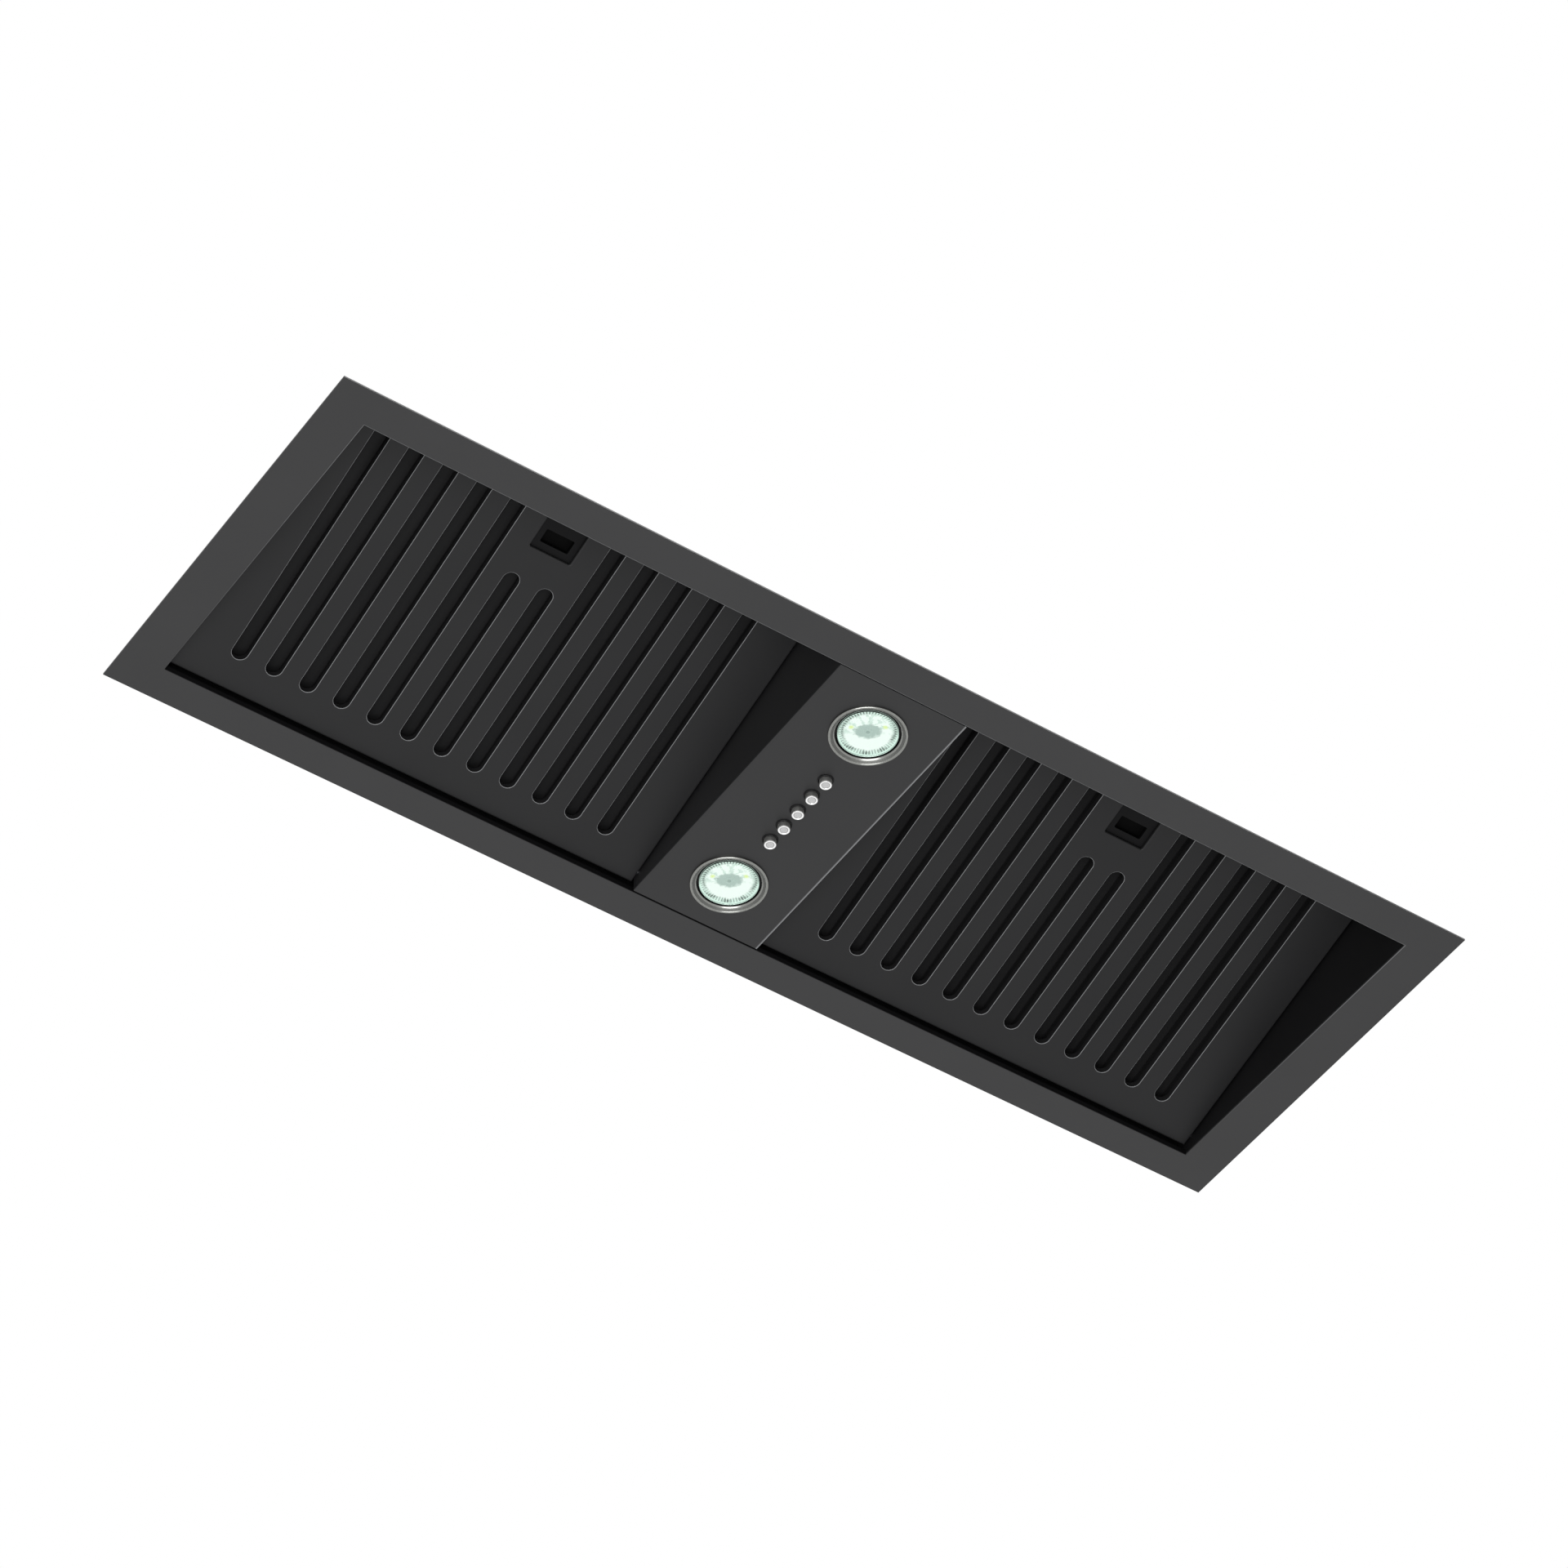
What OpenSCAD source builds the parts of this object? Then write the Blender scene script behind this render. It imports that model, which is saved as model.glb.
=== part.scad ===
// Undermount range hood: a flanged case let into the underside of a cupboard, with two hinged slotted
// filters, a flush control strip between them, and a blower that discharges through a collar on top.
// The origin is the centre of the flange's upper face, which seats against the cupboard.
// X runs left to right, Y front to back, Z up. All sizes are in millimetres.

/* [Flange] */
// Width of the flange, left to right
flange_w = 860; // [820:5:1100]
// Depth of the flange, front to back
flange_d = 294; // [290:1:330]
// Thickness of the flange sheet
flange_t = 1.5; // [1:0.1:2]
// Width of the flange at each end of the opening
side_margin = 30; // [24:1:36]
// Width of the flange at the front and the back of the opening
front_margin = 26; // [24:1:28]
// Height of the neck that stands up round the opening
neck_h = 22; // [20:1:26]

/* [Case] */
// Height of the case above the flange
case_h = 260; // [260:1:320]
// Thickness of the case sheets
sheet_t = 1; // [0.8:0.1:1.2]
// Depth of the grease channel behind the opening
gutter_w = 8; // [7:0.5:10]
// Height of the lip that keeps grease in the channel
gutter_lip_h = 2.5; // [2:0.5:4]
// Width of the folded lips at the top of the case
lip_w = 12; // [10:1:16]
// Spacing of the two fixing holes in each end plate
side_fix_spacing = 160; // [100:5:180]
// Height of the fixing holes above the flange
side_fix_z = 130; // [115:5:200]
// Diameter of the fixing holes
side_fix_d = 5.5; // [4:0.5:7]

/* [Control strip] */
// Width of the control strip
strip_w = 97; // [90:1:110]
// Height of the strip's side walls
strip_h = 79.5; // [78:0.5:80]
// Distance between the two lamp centres
lamp_pitch = 160; // [150:1:170]
// Outer diameter of the lamp ring
lamp_ring_d = 51.6; // [50:0.2:54]
// Diameter of the lamp's sleeve, which passes through the strip
lamp_sleeve_d = 44; // [42:0.5:45]
// Visible diameter of the lamp glass
lamp_glass_d = 39.2; // [36:0.2:40]
// Distance between neighbouring push-buttons
button_pitch = 16; // [14:0.5:17]
// Diameter of a button cap
button_d = 8.6; // [7:0.2:9.4]
// How far a cap stands out of the strip
button_out = 5; // [4:0.5:6]
// How far a button travels when pressed
button_travel = 3; // [2:0.5:3.5]

/* [Filters] */
// Slope of the filters, rising towards the front
filter_tilt = 16; // [15:0.5:16.5]
// Level distance from the opening's front edge back to a filter's front edge
filter_front_gap = 14.64; // [14.5:0.02:16]
// Thickness of a filter
filter_h = 22; // [20:1:24]
// Gap between a filter and the wall at each side
filter_gap = 1.25; // [1:0.25:2]
// Number of slots across a filter
slot_count = 12; // [6:2:12]
// Distance between neighbouring slots
slot_pitch = 25; // [22:0.5:25]
// Width of a slot
slot_w = 11; // [8:0.5:12]
// Distance from a filter's ends to its slots
slot_margin = 22; // [18:1:26]
// Distance from the two middle slots to the latch recess
short_slot_gap = 21.5; // [21.5:0.5:40]
// Height of the folded edge round each slot
slot_edge_h = 5; // [3:0.5:6]
// Diameter of the hinge studs
stud_d = 5; // [4:0.5:6]
// Distance of the hinge axis from the filter's rear edge and from its face
hinge_inset = 6; // [5.5:0.25:7]

/* [Latches] */
// Side of the square latch recess
latch_recess = 30; // [28:1:32]
// Distance from the filter's front edge to the middle of the recess
latch_inset = 41.5; // [40:0.5:43]
// Width of the latch bolt
bolt_w = 20; // [16:1:22]
// How far the bolt stands out of the filter
bolt_out = 7; // [5:0.5:7]
// Travel of the latch slider
latch_travel = 6; // [4:0.5:6.5]

/* [Blower] */
// Outer diameter of the impeller
impeller_d = 130; // [120:1:132]
// Gap between the impeller and the scroll at each end
impeller_gap = 6; // [5:0.5:8]
// Number of impeller blades
blade_count = 36; // [24:1:40]
// Inner width of the scroll
scroll_w = 150; // [130:2:164]
// Gap between impeller and scroll at the tongue
tongue_gap = 7; // [6:0.5:8]
// Gap between impeller and scroll at the outlet
outlet_gap = 35; // [30:1:36]
// Distance of the shaft in front of the case's middle
shaft_forward = 20; // [16:1:22]
// Height of the shaft above the flange
shaft_z = 177; // [176:0.5:178]
// Diameter of the motor shaft
shaft_d = 8; // [6:1:10]
// Diameter of the motor
motor_d = 80; // [70:1:84]

/* [Duct] */
// Outer diameter of the duct collar
duct_d = 149; // [140:1:150]
// Height of the duct collar's tube
duct_h = 50; // [46:1:60]
// Distance of the collar's axis behind the case's middle
duct_back = 40; // [38:0.5:40]
// Width of the collar's base ring
collar_rim = 13; // [12:0.5:14]
// Diameter of the damper pins
damper_pin_d = 3; // [2.5:0.5:4]

/* [Hidden] */
$fn = 48;

// Finishes
c_black = "#3d3d3d";
c_zinc = "#b4b8bb";
c_chrome = "#d6d8d8";
c_plastic = "#1d1d1f";

// Clearances
eps = 0.5;          // how far a cutter runs past what it cuts
fit = 0.1;          // radial gap of a pin in its bore
slide = 0.3;        // gap at each side of a sliding piece
seam = 0.4;         // gap between the strip and the flange at the front
rear_seam = 1.2;    // gap between the strip and the flange at the back

// The opening and the case round it
open_w = flange_w - 2 * side_margin;
open_d = flange_d - 2 * front_margin;
half_w = open_w / 2;
half_d = open_d / 2;
wall_x = half_w;
wall_front = -half_d;
wall_rear = half_d + gutter_w;
top_z = case_h - sheet_t;
face_z = -flange_t;

// Screws
screw_d = 4;
screw_head_d = 8;
screw_head_h = 2.4;
screw_len = 9;
front_screw_pitch = 190;
end_screw_pitch = 85;
collar_screws = 6;

// Blower
shaft_y = -shaft_forward;
scroll_r0 = impeller_d / 2 + tongue_gap;
scroll_r1 = impeller_d / 2 + outlet_gap;
tongue_angle = 70;
tongue_y = shaft_y + scroll_r0 * cos(tongue_angle);
outlet_y = shaft_y + scroll_r1;
blade_depth = 13;
blade_t = 0.8;
blade_lean = 35;
inlet_r = impeller_d / 2 - blade_depth;
impeller_w = scroll_w - 2 * impeller_gap;
ring_t = 3;
ring_w = 11;
disc_t = 2;
hub_back = 4;
hub_len = 14;
bush_len = 6;
motor_len = 70;
motor_back = -scroll_w / 2 - sheet_t - bush_len;
motor_floor = 10;
shaft_set_back = 14;
shaft_past_hub = 3;
arm_t = 2;
arm_w = 14;
bush_d = 14;
bush_out = 1;
bush_r = impeller_d / 2 + bush_out;
eye_d = 0.6 * motor_d;

// Duct collar
duct_t = 1;
duct_r = duct_d / 2;
collar_screw_out = 1;
collar_screw_r = duct_r + collar_rim / 2 + collar_screw_out;
gasket_t = 2;
base_z = case_h + gasket_t;
flap_rise = 16;
flap_z = base_z + flap_rise;
flap_t = 0.8;
flap_gap = 1;
stop_w = 4;
stop_t = 1;
pin_offset = 4;
barrel_t = 1.2;
barrel_inset = 7;
pin_inset = 0.5;

// Lamp, measured upwards from the strip's lower face
lamp_r = lamp_ring_d / 2;
sleeve_r = lamp_sleeve_d / 2;
sleeve_t = 1.2;
sleeve_h = 10;
bezel_t = 1.8;
bezel_floor = 0.8;
glass_t = 2.4;
board_z = 4;
board_t = 1.6;
chip_circle_d = 23;
chip_d = 3.5;
middle_chip_d = 5;
chip_h = 1;
lamp_body_h = 26;
fin_r = 26;
fin_z = 12;
fin_t = 2;
fin_pitch = 4;
fin_count = 5;
clip_w = 8;
clip_l = 10;
clip_t = 1;

// Buttons, measured upwards from the strip's lower face
collar_t = 0.8;
collar_wall = 0.4;
collar_h = 3;
cap_h = 6;
shoulder_h = 2;
stem_d = 5;
switch_z = 12;
switch_h = 22;
switch_w = 30;
leg_w = 6;
switch_l = 5 * button_pitch + 2 * leg_w;
lid_t = 2;
tag_w = 6;
tag_h = 7;
tag_t = 0.8;
stem_top = 27;
spring_wall = 0.8;

// Filters
bay_w = half_w - strip_w / 2;
bay_x = half_w - bay_w / 2;
filter_w = bay_w - 2 * filter_gap;
filter_rear_gap = 0.5;
filter_y = half_d - filter_rear_gap;
filter_z = 6;
filter_len = (open_d - filter_rear_gap - filter_front_gap) / cos(filter_tilt);
filter_front_z = filter_z + filter_len * sin(filter_tilt);
edge_t = 1;
baffle_w = 20;
baffle_z = 9.5;
baffle_h = 7.5;
baffle_end = 10;
baffle_bar_z = 17;
full_slot_len = filter_len - 2 * slot_margin;

// Latches, in the filter's own frame
latch_at = filter_len - latch_inset;
short_slot_len = latch_at - latch_recess / 2 - short_slot_gap - slot_margin;
slider_z = 2.4;
slider_t = 1.5;
slider_side_lap = 2;
slider_front_lap = 8.5;
slider_rear_lap = 1.5;
slider_w = latch_recess + 2 * slider_side_lap;
slider_front = latch_at + latch_recess / 2 + slider_front_lap;
slider_rear = latch_at - latch_recess / 2 - slider_rear_lap;
finger_w = 20.5;
finger_l = 9.5;
finger_offset = 5.3;
finger_at = latch_at - finger_offset;
guide_gap = 3.5;
guide_rear = slot_margin + short_slot_len + guide_gap;
guide_t = 1.5;
guide_top = 9;
ledge_w = 1.6;
latch_spring_d = 3.8;

// Front rails
rail_drop = 5.05;
rail_z = filter_front_z - rail_drop;
rail_h = 24;
rail_top = rail_z + rail_h;
rail_lip_h = 11;
rail_gap = 1.84;
rail_rear = wall_front + filter_front_gap - rail_gap;
notch_gap = 1.5;
notch_w = bolt_w + 2 * notch_gap;

// Electrical parts
box_w = 110;
box_d = 70;
box_h = 42;
box_t = 1.2;
box_side_gap = 45;
box_rear_gap = 16;
box_x = -wall_x + box_side_gap + box_w / 2;
box_y = wall_rear - box_rear_gap - box_d / 2;
gland_d = 20;
gland_nut_d = 28;
gland_nut_h = 6;
gland_cap_d = 24;
gland_cap_h = 12;
gland_stem = 8;
cable_d = 11;
lead_d = 8;
lead_rear_gap = 25;
lead_top_gap = 23;
lead_y = wall_rear - lead_rear_gap;
lead_z = top_z - lead_top_gap;
lead_x = -24;
lead_end = 4;
lead_drop = 12;
cap_x = -165;
cap_d = 34;
cap_len = 62;
cap_tag_h = 8;
cap_tag_out = 0.2 * cap_d;
driver_x = 180;
driver_size = [78, 38, 24];
driver_foot = 8;
driver_foot_t = 3;

// Places a child with its plan (u, v) on Y and Z, extruded along X about the middle
module along_x(length) {
    translate([-length / 2, 0, 0]) rotate([90, 0, 90]) linear_extrude(length) children();
}

// A box from its low corner to its high corner
module block(low, high) {
    translate(low) cube(high - low);
}

// A flat ring standing on z = 0
module ring(outer, inner, height) {
    difference() {
        cylinder(r = outer, h = height);
        translate([0, 0, -eps]) cylinder(r = inner, h = height + 2 * eps);
    }
}

// The points of the screws that hold the top panel down
module at_top_screws() {
    for (side = [-1, 1], i = [-1:1])
        translate([side * (wall_x - lip_w / 2), i * end_screw_pitch, 0]) children();
    for (i = [-1.5:1:1.5]) {
        translate([i * front_screw_pitch, wall_front + lip_w / 2, 0]) children();
        translate([i * front_screw_pitch, wall_rear - lip_w / 2, 0]) children();
    }
}

// The points of the screws round the duct collar
module at_collar_screws() {
    translate([0, duct_back, 0])
        for (i = [0:collar_screws - 1])
            rotate(i * 360 / collar_screws) translate([collar_screw_r, 0, 0]) children();
}

// Clearance holes for the screws, from one height to another
module screw_holes(low, high) {
    translate([0, 0, low]) cylinder(d = screw_d + 2 * fit, h = high - low);
}

// A pan-head screw pointing down, its head seated on z = 0
module screw() {
    translate([0, 0, -screw_len]) cylinder(d = screw_d, h = screw_len);
    cylinder(d = screw_head_d, h = screw_head_h);
}

// A block round the case's walls, grown by some amount on the level
module case_block(grow, low, high) {
    block([-wall_x - grow, wall_front - grow, low], [wall_x + grow, wall_rear + grow, high]);
}

// The flat flange, welded round the neck
module flange_frame() {
    color(c_black) difference() {
        block([-flange_w / 2, -flange_d / 2, -flange_t], [flange_w / 2, flange_d / 2, 0]);
        case_block(2 * sheet_t, -flange_t - eps, eps);
    }
}

// The neck: a ledge that the case stands on, walls at the front and ends that hold the case, and a lip that
// makes the ledge's rear a grease channel
module neck_frame() {
    color(c_black) {
        difference() {
            case_block(2 * sheet_t, -flange_t, neck_h);
            case_block(sheet_t, 0, neck_h + eps);
            block([-wall_x - sheet_t, wall_rear, 0],
                [wall_x + sheet_t, wall_rear + 2 * sheet_t + eps, neck_h + eps]);
            block([-half_w, -half_d, -flange_t - eps], [half_w, half_d, eps]);
        }
        block([-half_w, half_d, -flange_t], [half_w, half_d + sheet_t, gutter_lip_h]);
    }
}

module front_panel() {
    color(c_black) difference() {
        union() {
            block([-wall_x, wall_front - sheet_t, 0], [wall_x, wall_front, top_z]);
            block([-wall_x + lip_w + slide, wall_front, top_z - sheet_t],
                [wall_x - lip_w - slide, wall_front + lip_w, top_z]);
        }
        at_top_screws() screw_holes(top_z - screw_len, top_z + eps);
    }
}

module rear_panel() {
    color(c_black) difference() {
        union() {
            block([-wall_x, wall_rear, 0], [wall_x, wall_rear + sheet_t, top_z]);
            block([-wall_x + lip_w + slide, wall_rear - lip_w, top_z - sheet_t],
                [wall_x - lip_w - slide, wall_rear, top_z]);
        }
        at_top_screws() screw_holes(top_z - screw_len, top_z + eps);
    }
}

// An end plate, drawn at the right-hand end
module end_plate() {
    color(c_black) difference() {
        union() {
            block([wall_x, wall_front - sheet_t, 0], [wall_x + sheet_t, wall_rear + sheet_t, top_z]);
            block([wall_x - lip_w, wall_front, top_z - sheet_t], [wall_x, wall_rear, top_z]);
        }
        at_top_screws() screw_holes(top_z - screw_len, top_z + eps);
        for (side = [-1, 1])
            translate([wall_x - eps, side * side_fix_spacing / 2, side_fix_z])
                rotate([0, 90, 0]) cylinder(d = side_fix_d, h = sheet_t + 2 * eps);
    }
}

module left_end_plate() { mirror([1, 0, 0]) end_plate(); }

module right_end_plate() { end_plate(); }

module top_panel() {
    color(c_black) difference() {
        block([-wall_x - sheet_t, wall_front - sheet_t, top_z],
            [wall_x + sheet_t, wall_rear + sheet_t, case_h]);
        intersection() {
            translate([0, duct_back, top_z - eps]) cylinder(r = duct_r - 2 * duct_t, h = sheet_t + 2 * eps);
            block([-scroll_w / 2, tongue_y, top_z - eps], [scroll_w / 2, outlet_y, case_h + eps]);
        }
        at_top_screws() screw_holes(top_z - eps, case_h + eps);
        at_collar_screws() screw_holes(top_z - eps, case_h + eps);
        translate([box_x, box_y, top_z - eps]) cylinder(d = gland_d + 2 * fit, h = sheet_t + 2 * eps);
    }
}

// A rail across the front of one bay, with the notch that the latch bolt passes
module front_rail(x) {
    color(c_black) translate([x, 0, 0]) difference() {
        union() {
            block([-bay_w / 2 + slide, wall_front, rail_z],
                [bay_w / 2 - slide, wall_front + sheet_t, rail_top]);
            block([-bay_w / 2 + slide, wall_front, rail_z],
                [bay_w / 2 - slide, rail_rear, rail_z + sheet_t]);
            block([-bay_w / 2 + slide, rail_rear - sheet_t, rail_z],
                [bay_w / 2 - slide, rail_rear, rail_z + rail_lip_h]);
        }
        block([-notch_w / 2, wall_front + sheet_t, rail_z - eps],
            [notch_w / 2, rail_rear + eps, rail_z + rail_lip_h + eps]);
    }
}

module front_rail_left() { front_rail(-bay_x); }

module front_rail_right() { front_rail(bay_x); }

// The folded tray that carries the lamps and the buttons
module control_panel() {
    front = -half_d + seam;
    rear = half_d - rear_seam;
    color(c_black) difference() {
        union() {
            block([-strip_w / 2, front, face_z], [strip_w / 2, rear, face_z + sheet_t]);
            for (side = [-1, 1])
                translate([side * (strip_w - sheet_t) / 2, 0, 0])
                    block([-sheet_t / 2, front, face_z], [sheet_t / 2, rear, face_z + strip_h]);
        }
        for (side = [-1, 1])
            translate([0, side * lamp_pitch / 2, face_z - eps])
                cylinder(r = sleeve_r + fit, h = sheet_t + 2 * eps);
        for (i = [-2:2])
            translate([0, i * button_pitch, face_z - eps])
                cylinder(r = button_d / 2 + slide + collar_wall + fit, h = sheet_t + 2 * eps);
    }
}

// The lid over the control strip's tray, with its front and rear walls
module housing_cover() {
    low = face_z + sheet_t;
    top = face_z + strip_h;
    inner = strip_w / 2 - sheet_t - slide;
    color(c_zinc) difference() {
        union() {
            block([-strip_w / 2, wall_front, top], [strip_w / 2, wall_rear, top + sheet_t]);
            block([-inner, -half_d + seam, low], [inner, -half_d + seam + sheet_t, top]);
            block([-inner, half_d - rear_seam - sheet_t, low], [inner, half_d - rear_seam, top]);
        }
        translate([lead_x, lead_y, top - eps]) cylinder(d = lead_d + 2 * slide, h = sheet_t + 2 * eps);
    }
}

// Puts a filter's own frame in place: its rear lower edge on z = 0, its length along -Y
module in_filter(side) {
    translate([side * bay_x, filter_y, filter_z]) rotate([-filter_tilt, 0, 0]) children();
}

// The four studs that the filters turn on
module hinge_studs() {
    length = filter_gap + edge_t + 2;
    color(c_zinc) for (side = [-1, 1]) in_filter(side) translate([0, -hinge_inset, hinge_inset])
        for (end = [-1, 1])
            translate([end * (bay_w / 2 - length / 2), 0, 0])
                rotate([0, 90, 0]) cylinder(d = stud_d, h = length, center = true);
}

// The outline of a slot with round ends, running towards -Y from its rear end
module slot_outline(length, width) {
    translate([0, -width / 2]) circle(d = width);
    translate([0, -length + width / 2]) circle(d = width);
    translate([-width / 2, -length + width / 2]) square([width, length - width]);
}

// Calls its children at each slot, with $length set to that slot's length
module at_slots() {
    for (i = [0:slot_count - 1]) {
        place = i - (slot_count - 1) / 2;
        $length = abs(place) < 1 ? short_slot_len : full_slot_len;
        translate([place * slot_pitch, -slot_margin, 0]) children();
    }
}

// The slotted face of a filter with its rim and its folded slot edges
module filter_face() {
    half = filter_w / 2;
    color(c_black) difference() {
        union() {
            block([-half, -filter_len, 0], [half, 0, edge_t]);
            for (side = [-1, 1])
                translate([side * (half - edge_t / 2), 0, 0])
                    block([-edge_t / 2, -filter_len, 0], [edge_t / 2, 0, filter_h]);
            block([-half, -filter_len, 0], [half, -filter_len + edge_t, filter_h]);
            block([-half, -edge_t, 0], [half, 0, filter_h]);
            at_slots() translate([0, edge_t, 0])
                linear_extrude(slot_edge_h) slot_outline($length + 2 * edge_t, slot_w + 2 * edge_t);
        }
        at_slots() translate([0, 0, -eps])
            linear_extrude(slot_edge_h + 2 * eps) slot_outline($length, slot_w);
        block([-latch_recess / 2, -latch_at - latch_recess / 2, -eps],
            [latch_recess / 2, -latch_at + latch_recess / 2, edge_t + eps]);
        block([-bolt_w / 2 - slide, -filter_len - eps, slider_z - slide],
            [bolt_w / 2 + slide, -filter_len + edge_t + eps, slider_z + slider_t + slide]);
        translate([0, -hinge_inset, hinge_inset])
            rotate([0, 90, 0]) cylinder(d = stud_d + 2 * fit, h = filter_w + 2 * eps, center = true);
    }
}

// The inner layer: one inverted channel over each slot, joined by two end bars
module filter_baffles() {
    inner = filter_w / 2 - edge_t;
    rear = -edge_t - slide;
    front = -filter_len + edge_t + slide;
    color(c_zinc) {
        for (i = [0:slot_count - 1])
            translate([(i - (slot_count - 1) / 2) * slot_pitch, 0, baffle_z]) difference() {
                block([-baffle_w / 2, front, 0], [baffle_w / 2, rear, baffle_h + edge_t]);
                block([-baffle_w / 2 + edge_t, front - eps, -eps],
                    [baffle_w / 2 - edge_t, rear + eps, baffle_h]);
            }
        for (y = [front, rear - baffle_end])
            block([-inner, y, baffle_bar_z], [inner, y + baffle_end, baffle_bar_z + edge_t]);
    }
}

// The guide behind the latch recess
module latch_guide() {
    inner = slider_w / 2 + slide;
    outer = inner + guide_t;
    front = -slider_front - slide;
    color(c_plastic) difference() {
        block([-outer, front - guide_t, edge_t], [outer, -guide_rear, guide_top]);
        block([-inner, front, slider_z - slide], [inner, -guide_rear - guide_t, guide_top - guide_t]);
        block([-inner + ledge_w, front, edge_t - eps],
            [inner - ledge_w, -guide_rear - guide_t, slider_z + eps]);
        block([-bolt_w / 2 - slide, front - guide_t - eps, slider_z - slide],
            [bolt_w / 2 + slide, front + eps, slider_z + slider_t + slide]);
    }
}

// The latch slider: a plate with a finger hole, and the bolt at its front
module latch_slider() {
    color(c_black) difference() {
        union() {
            block([-slider_w / 2, -slider_front, slider_z],
                [slider_w / 2, -slider_rear, slider_z + slider_t]);
            block([-bolt_w / 2, -filter_len - bolt_out, slider_z],
                [bolt_w / 2, -slider_front, slider_z + slider_t]);
        }
        block([-finger_w / 2, -finger_at - finger_l / 2, slider_z - eps],
            [finger_w / 2, -finger_at + finger_l / 2, slider_z + slider_t + eps]);
    }
}

// The spring between the slider and the guide's rear wall
module latch_spring() {
    length = slider_rear - guide_rear - guide_t;
    color(c_zinc) translate([0, -guide_rear - guide_t, slider_z + slider_t / 2]) rotate([90, 0, 0])
        ring(latch_spring_d / 2, latch_spring_d / 2 - spring_wall, length);
}

module filter_face_left() { in_filter(-1) filter_face(); }
module filter_baffles_left() { in_filter(-1) filter_baffles(); }
module latch_guide_left() { in_filter(-1) latch_guide(); }
module latch_slider_left() { in_filter(-1) latch_slider(); }
module latch_spring_left() { in_filter(-1) latch_spring(); }
module filter_face_right() { in_filter(1) filter_face(); }
module filter_baffles_right() { in_filter(1) filter_baffles(); }
module latch_guide_right() { in_filter(1) latch_guide(); }
module latch_slider_right() { in_filter(1) latch_slider(); }
module latch_spring_right() { in_filter(1) latch_spring(); }

// Puts a lamp's own frame in place, its z = 0 on the strip's lower face
module in_lamp(side) {
    translate([0, side * lamp_pitch / 2, face_z]) children();
}

// The lamp's trim ring and sleeve
module lamp_ring() {
    color(c_chrome) {
        translate([0, 0, -bezel_t]) ring(lamp_r, lamp_glass_d / 2, bezel_t - bezel_floor);
        translate([0, 0, -bezel_floor]) ring(lamp_r, sleeve_r - sleeve_t, bezel_floor);
        ring(sleeve_r, sleeve_r - sleeve_t, sleeve_h);
    }
}

module lamp_glass() {
    color("#dfe8e2", 0.6) translate([0, 0, -bezel_floor])
        cylinder(r = sleeve_r - sleeve_t - fit, h = glass_t);
}

// The lamps' round boards, each with one chip in the middle and six round it
module lamp_boards() {
    color("#e8ecd8") for (side = [-1, 1]) in_lamp(side) translate([0, 0, board_z]) {
        cylinder(r = sleeve_r - sleeve_t - 2 * fit, h = board_t);
        for (i = [0:5])
            rotate(i * 60) translate([chip_circle_d / 2, 0, -chip_h]) cylinder(d = chip_d, h = chip_h);
        translate([0, 0, -chip_h]) cylinder(d = middle_chip_d, h = chip_h);
    }
}

// The lamp's finned metal body
module lamp_body() {
    color(c_zinc) {
        translate([0, 0, board_z + board_t]) cylinder(r = sleeve_r - sleeve_t - fit, h = lamp_body_h);
        for (i = [0:fin_count - 1]) translate([0, 0, fin_z + i * fin_pitch]) cylinder(r = fin_r, h = fin_t);
    }
}

// Spring clips that hold each lamp up against the strip
module lamp_clips() {
    color(c_zinc) for (side = [-1, 1]) in_lamp(side) for (end = [-1, 1]) {
        translate([end * (sleeve_r + clip_l / 2), 0, sheet_t])
            block([-clip_l / 2, -clip_w / 2, 0], [clip_l / 2, clip_w / 2, clip_t]);
        translate([end * (sleeve_r + clip_t / 2), 0, sheet_t])
            block([-clip_t / 2, -clip_w / 2, 0], [clip_t / 2, clip_w / 2, sleeve_h - sheet_t]);
    }
}

module lamp_ring_front() { in_lamp(-1) lamp_ring(); }
module lamp_ring_rear() { in_lamp(1) lamp_ring(); }
module lamp_glass_front() { in_lamp(-1) lamp_glass(); }
module lamp_glass_rear() { in_lamp(1) lamp_glass(); }
module lamp_body_front() { in_lamp(-1) lamp_body(); }
module lamp_body_rear() { in_lamp(1) lamp_body(); }

// Puts a button's own frame in place, counted from -2 at the front to 2 at the back
module in_button(i) {
    translate([0, i * button_pitch, face_z]) children();
}

// A flat terminal standing on z = 0
module tag(height) {
    block([-tag_w / 2, -tag_t / 2, 0], [tag_w / 2, tag_t / 2, height]);
}

// The block that the button stems slide in, standing on two legs
module switch_body() {
    color(c_plastic) translate([0, 0, face_z]) difference() {
        union() {
            block([-switch_w / 2, -switch_l / 2, switch_z],
                [switch_w / 2, switch_l / 2, switch_z + switch_h]);
            for (side = [-1, 1])
                translate([0, side * (switch_l - leg_w) / 2, 0])
                    block([-switch_w / 2, -leg_w / 2, sheet_t], [switch_w / 2, leg_w / 2, switch_z]);
        }
        for (i = [-2:2])
            translate([0, i * button_pitch, switch_z - eps])
                cylinder(d = stem_d + 2 * fit, h = stem_top + button_travel - switch_z + 2 * eps);
    }
}

// The switch block's lid with its row of terminals
module switch_cover() {
    color(c_plastic) translate([0, 0, face_z + switch_z + switch_h]) {
        block([-switch_w / 2, -switch_l / 2, 0], [switch_w / 2, switch_l / 2, lid_t]);
        for (i = [-2:2], side = [-1, 1])
            translate([side * switch_w / 4, i * button_pitch, lid_t]) tag(tag_h);
    }
}

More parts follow.
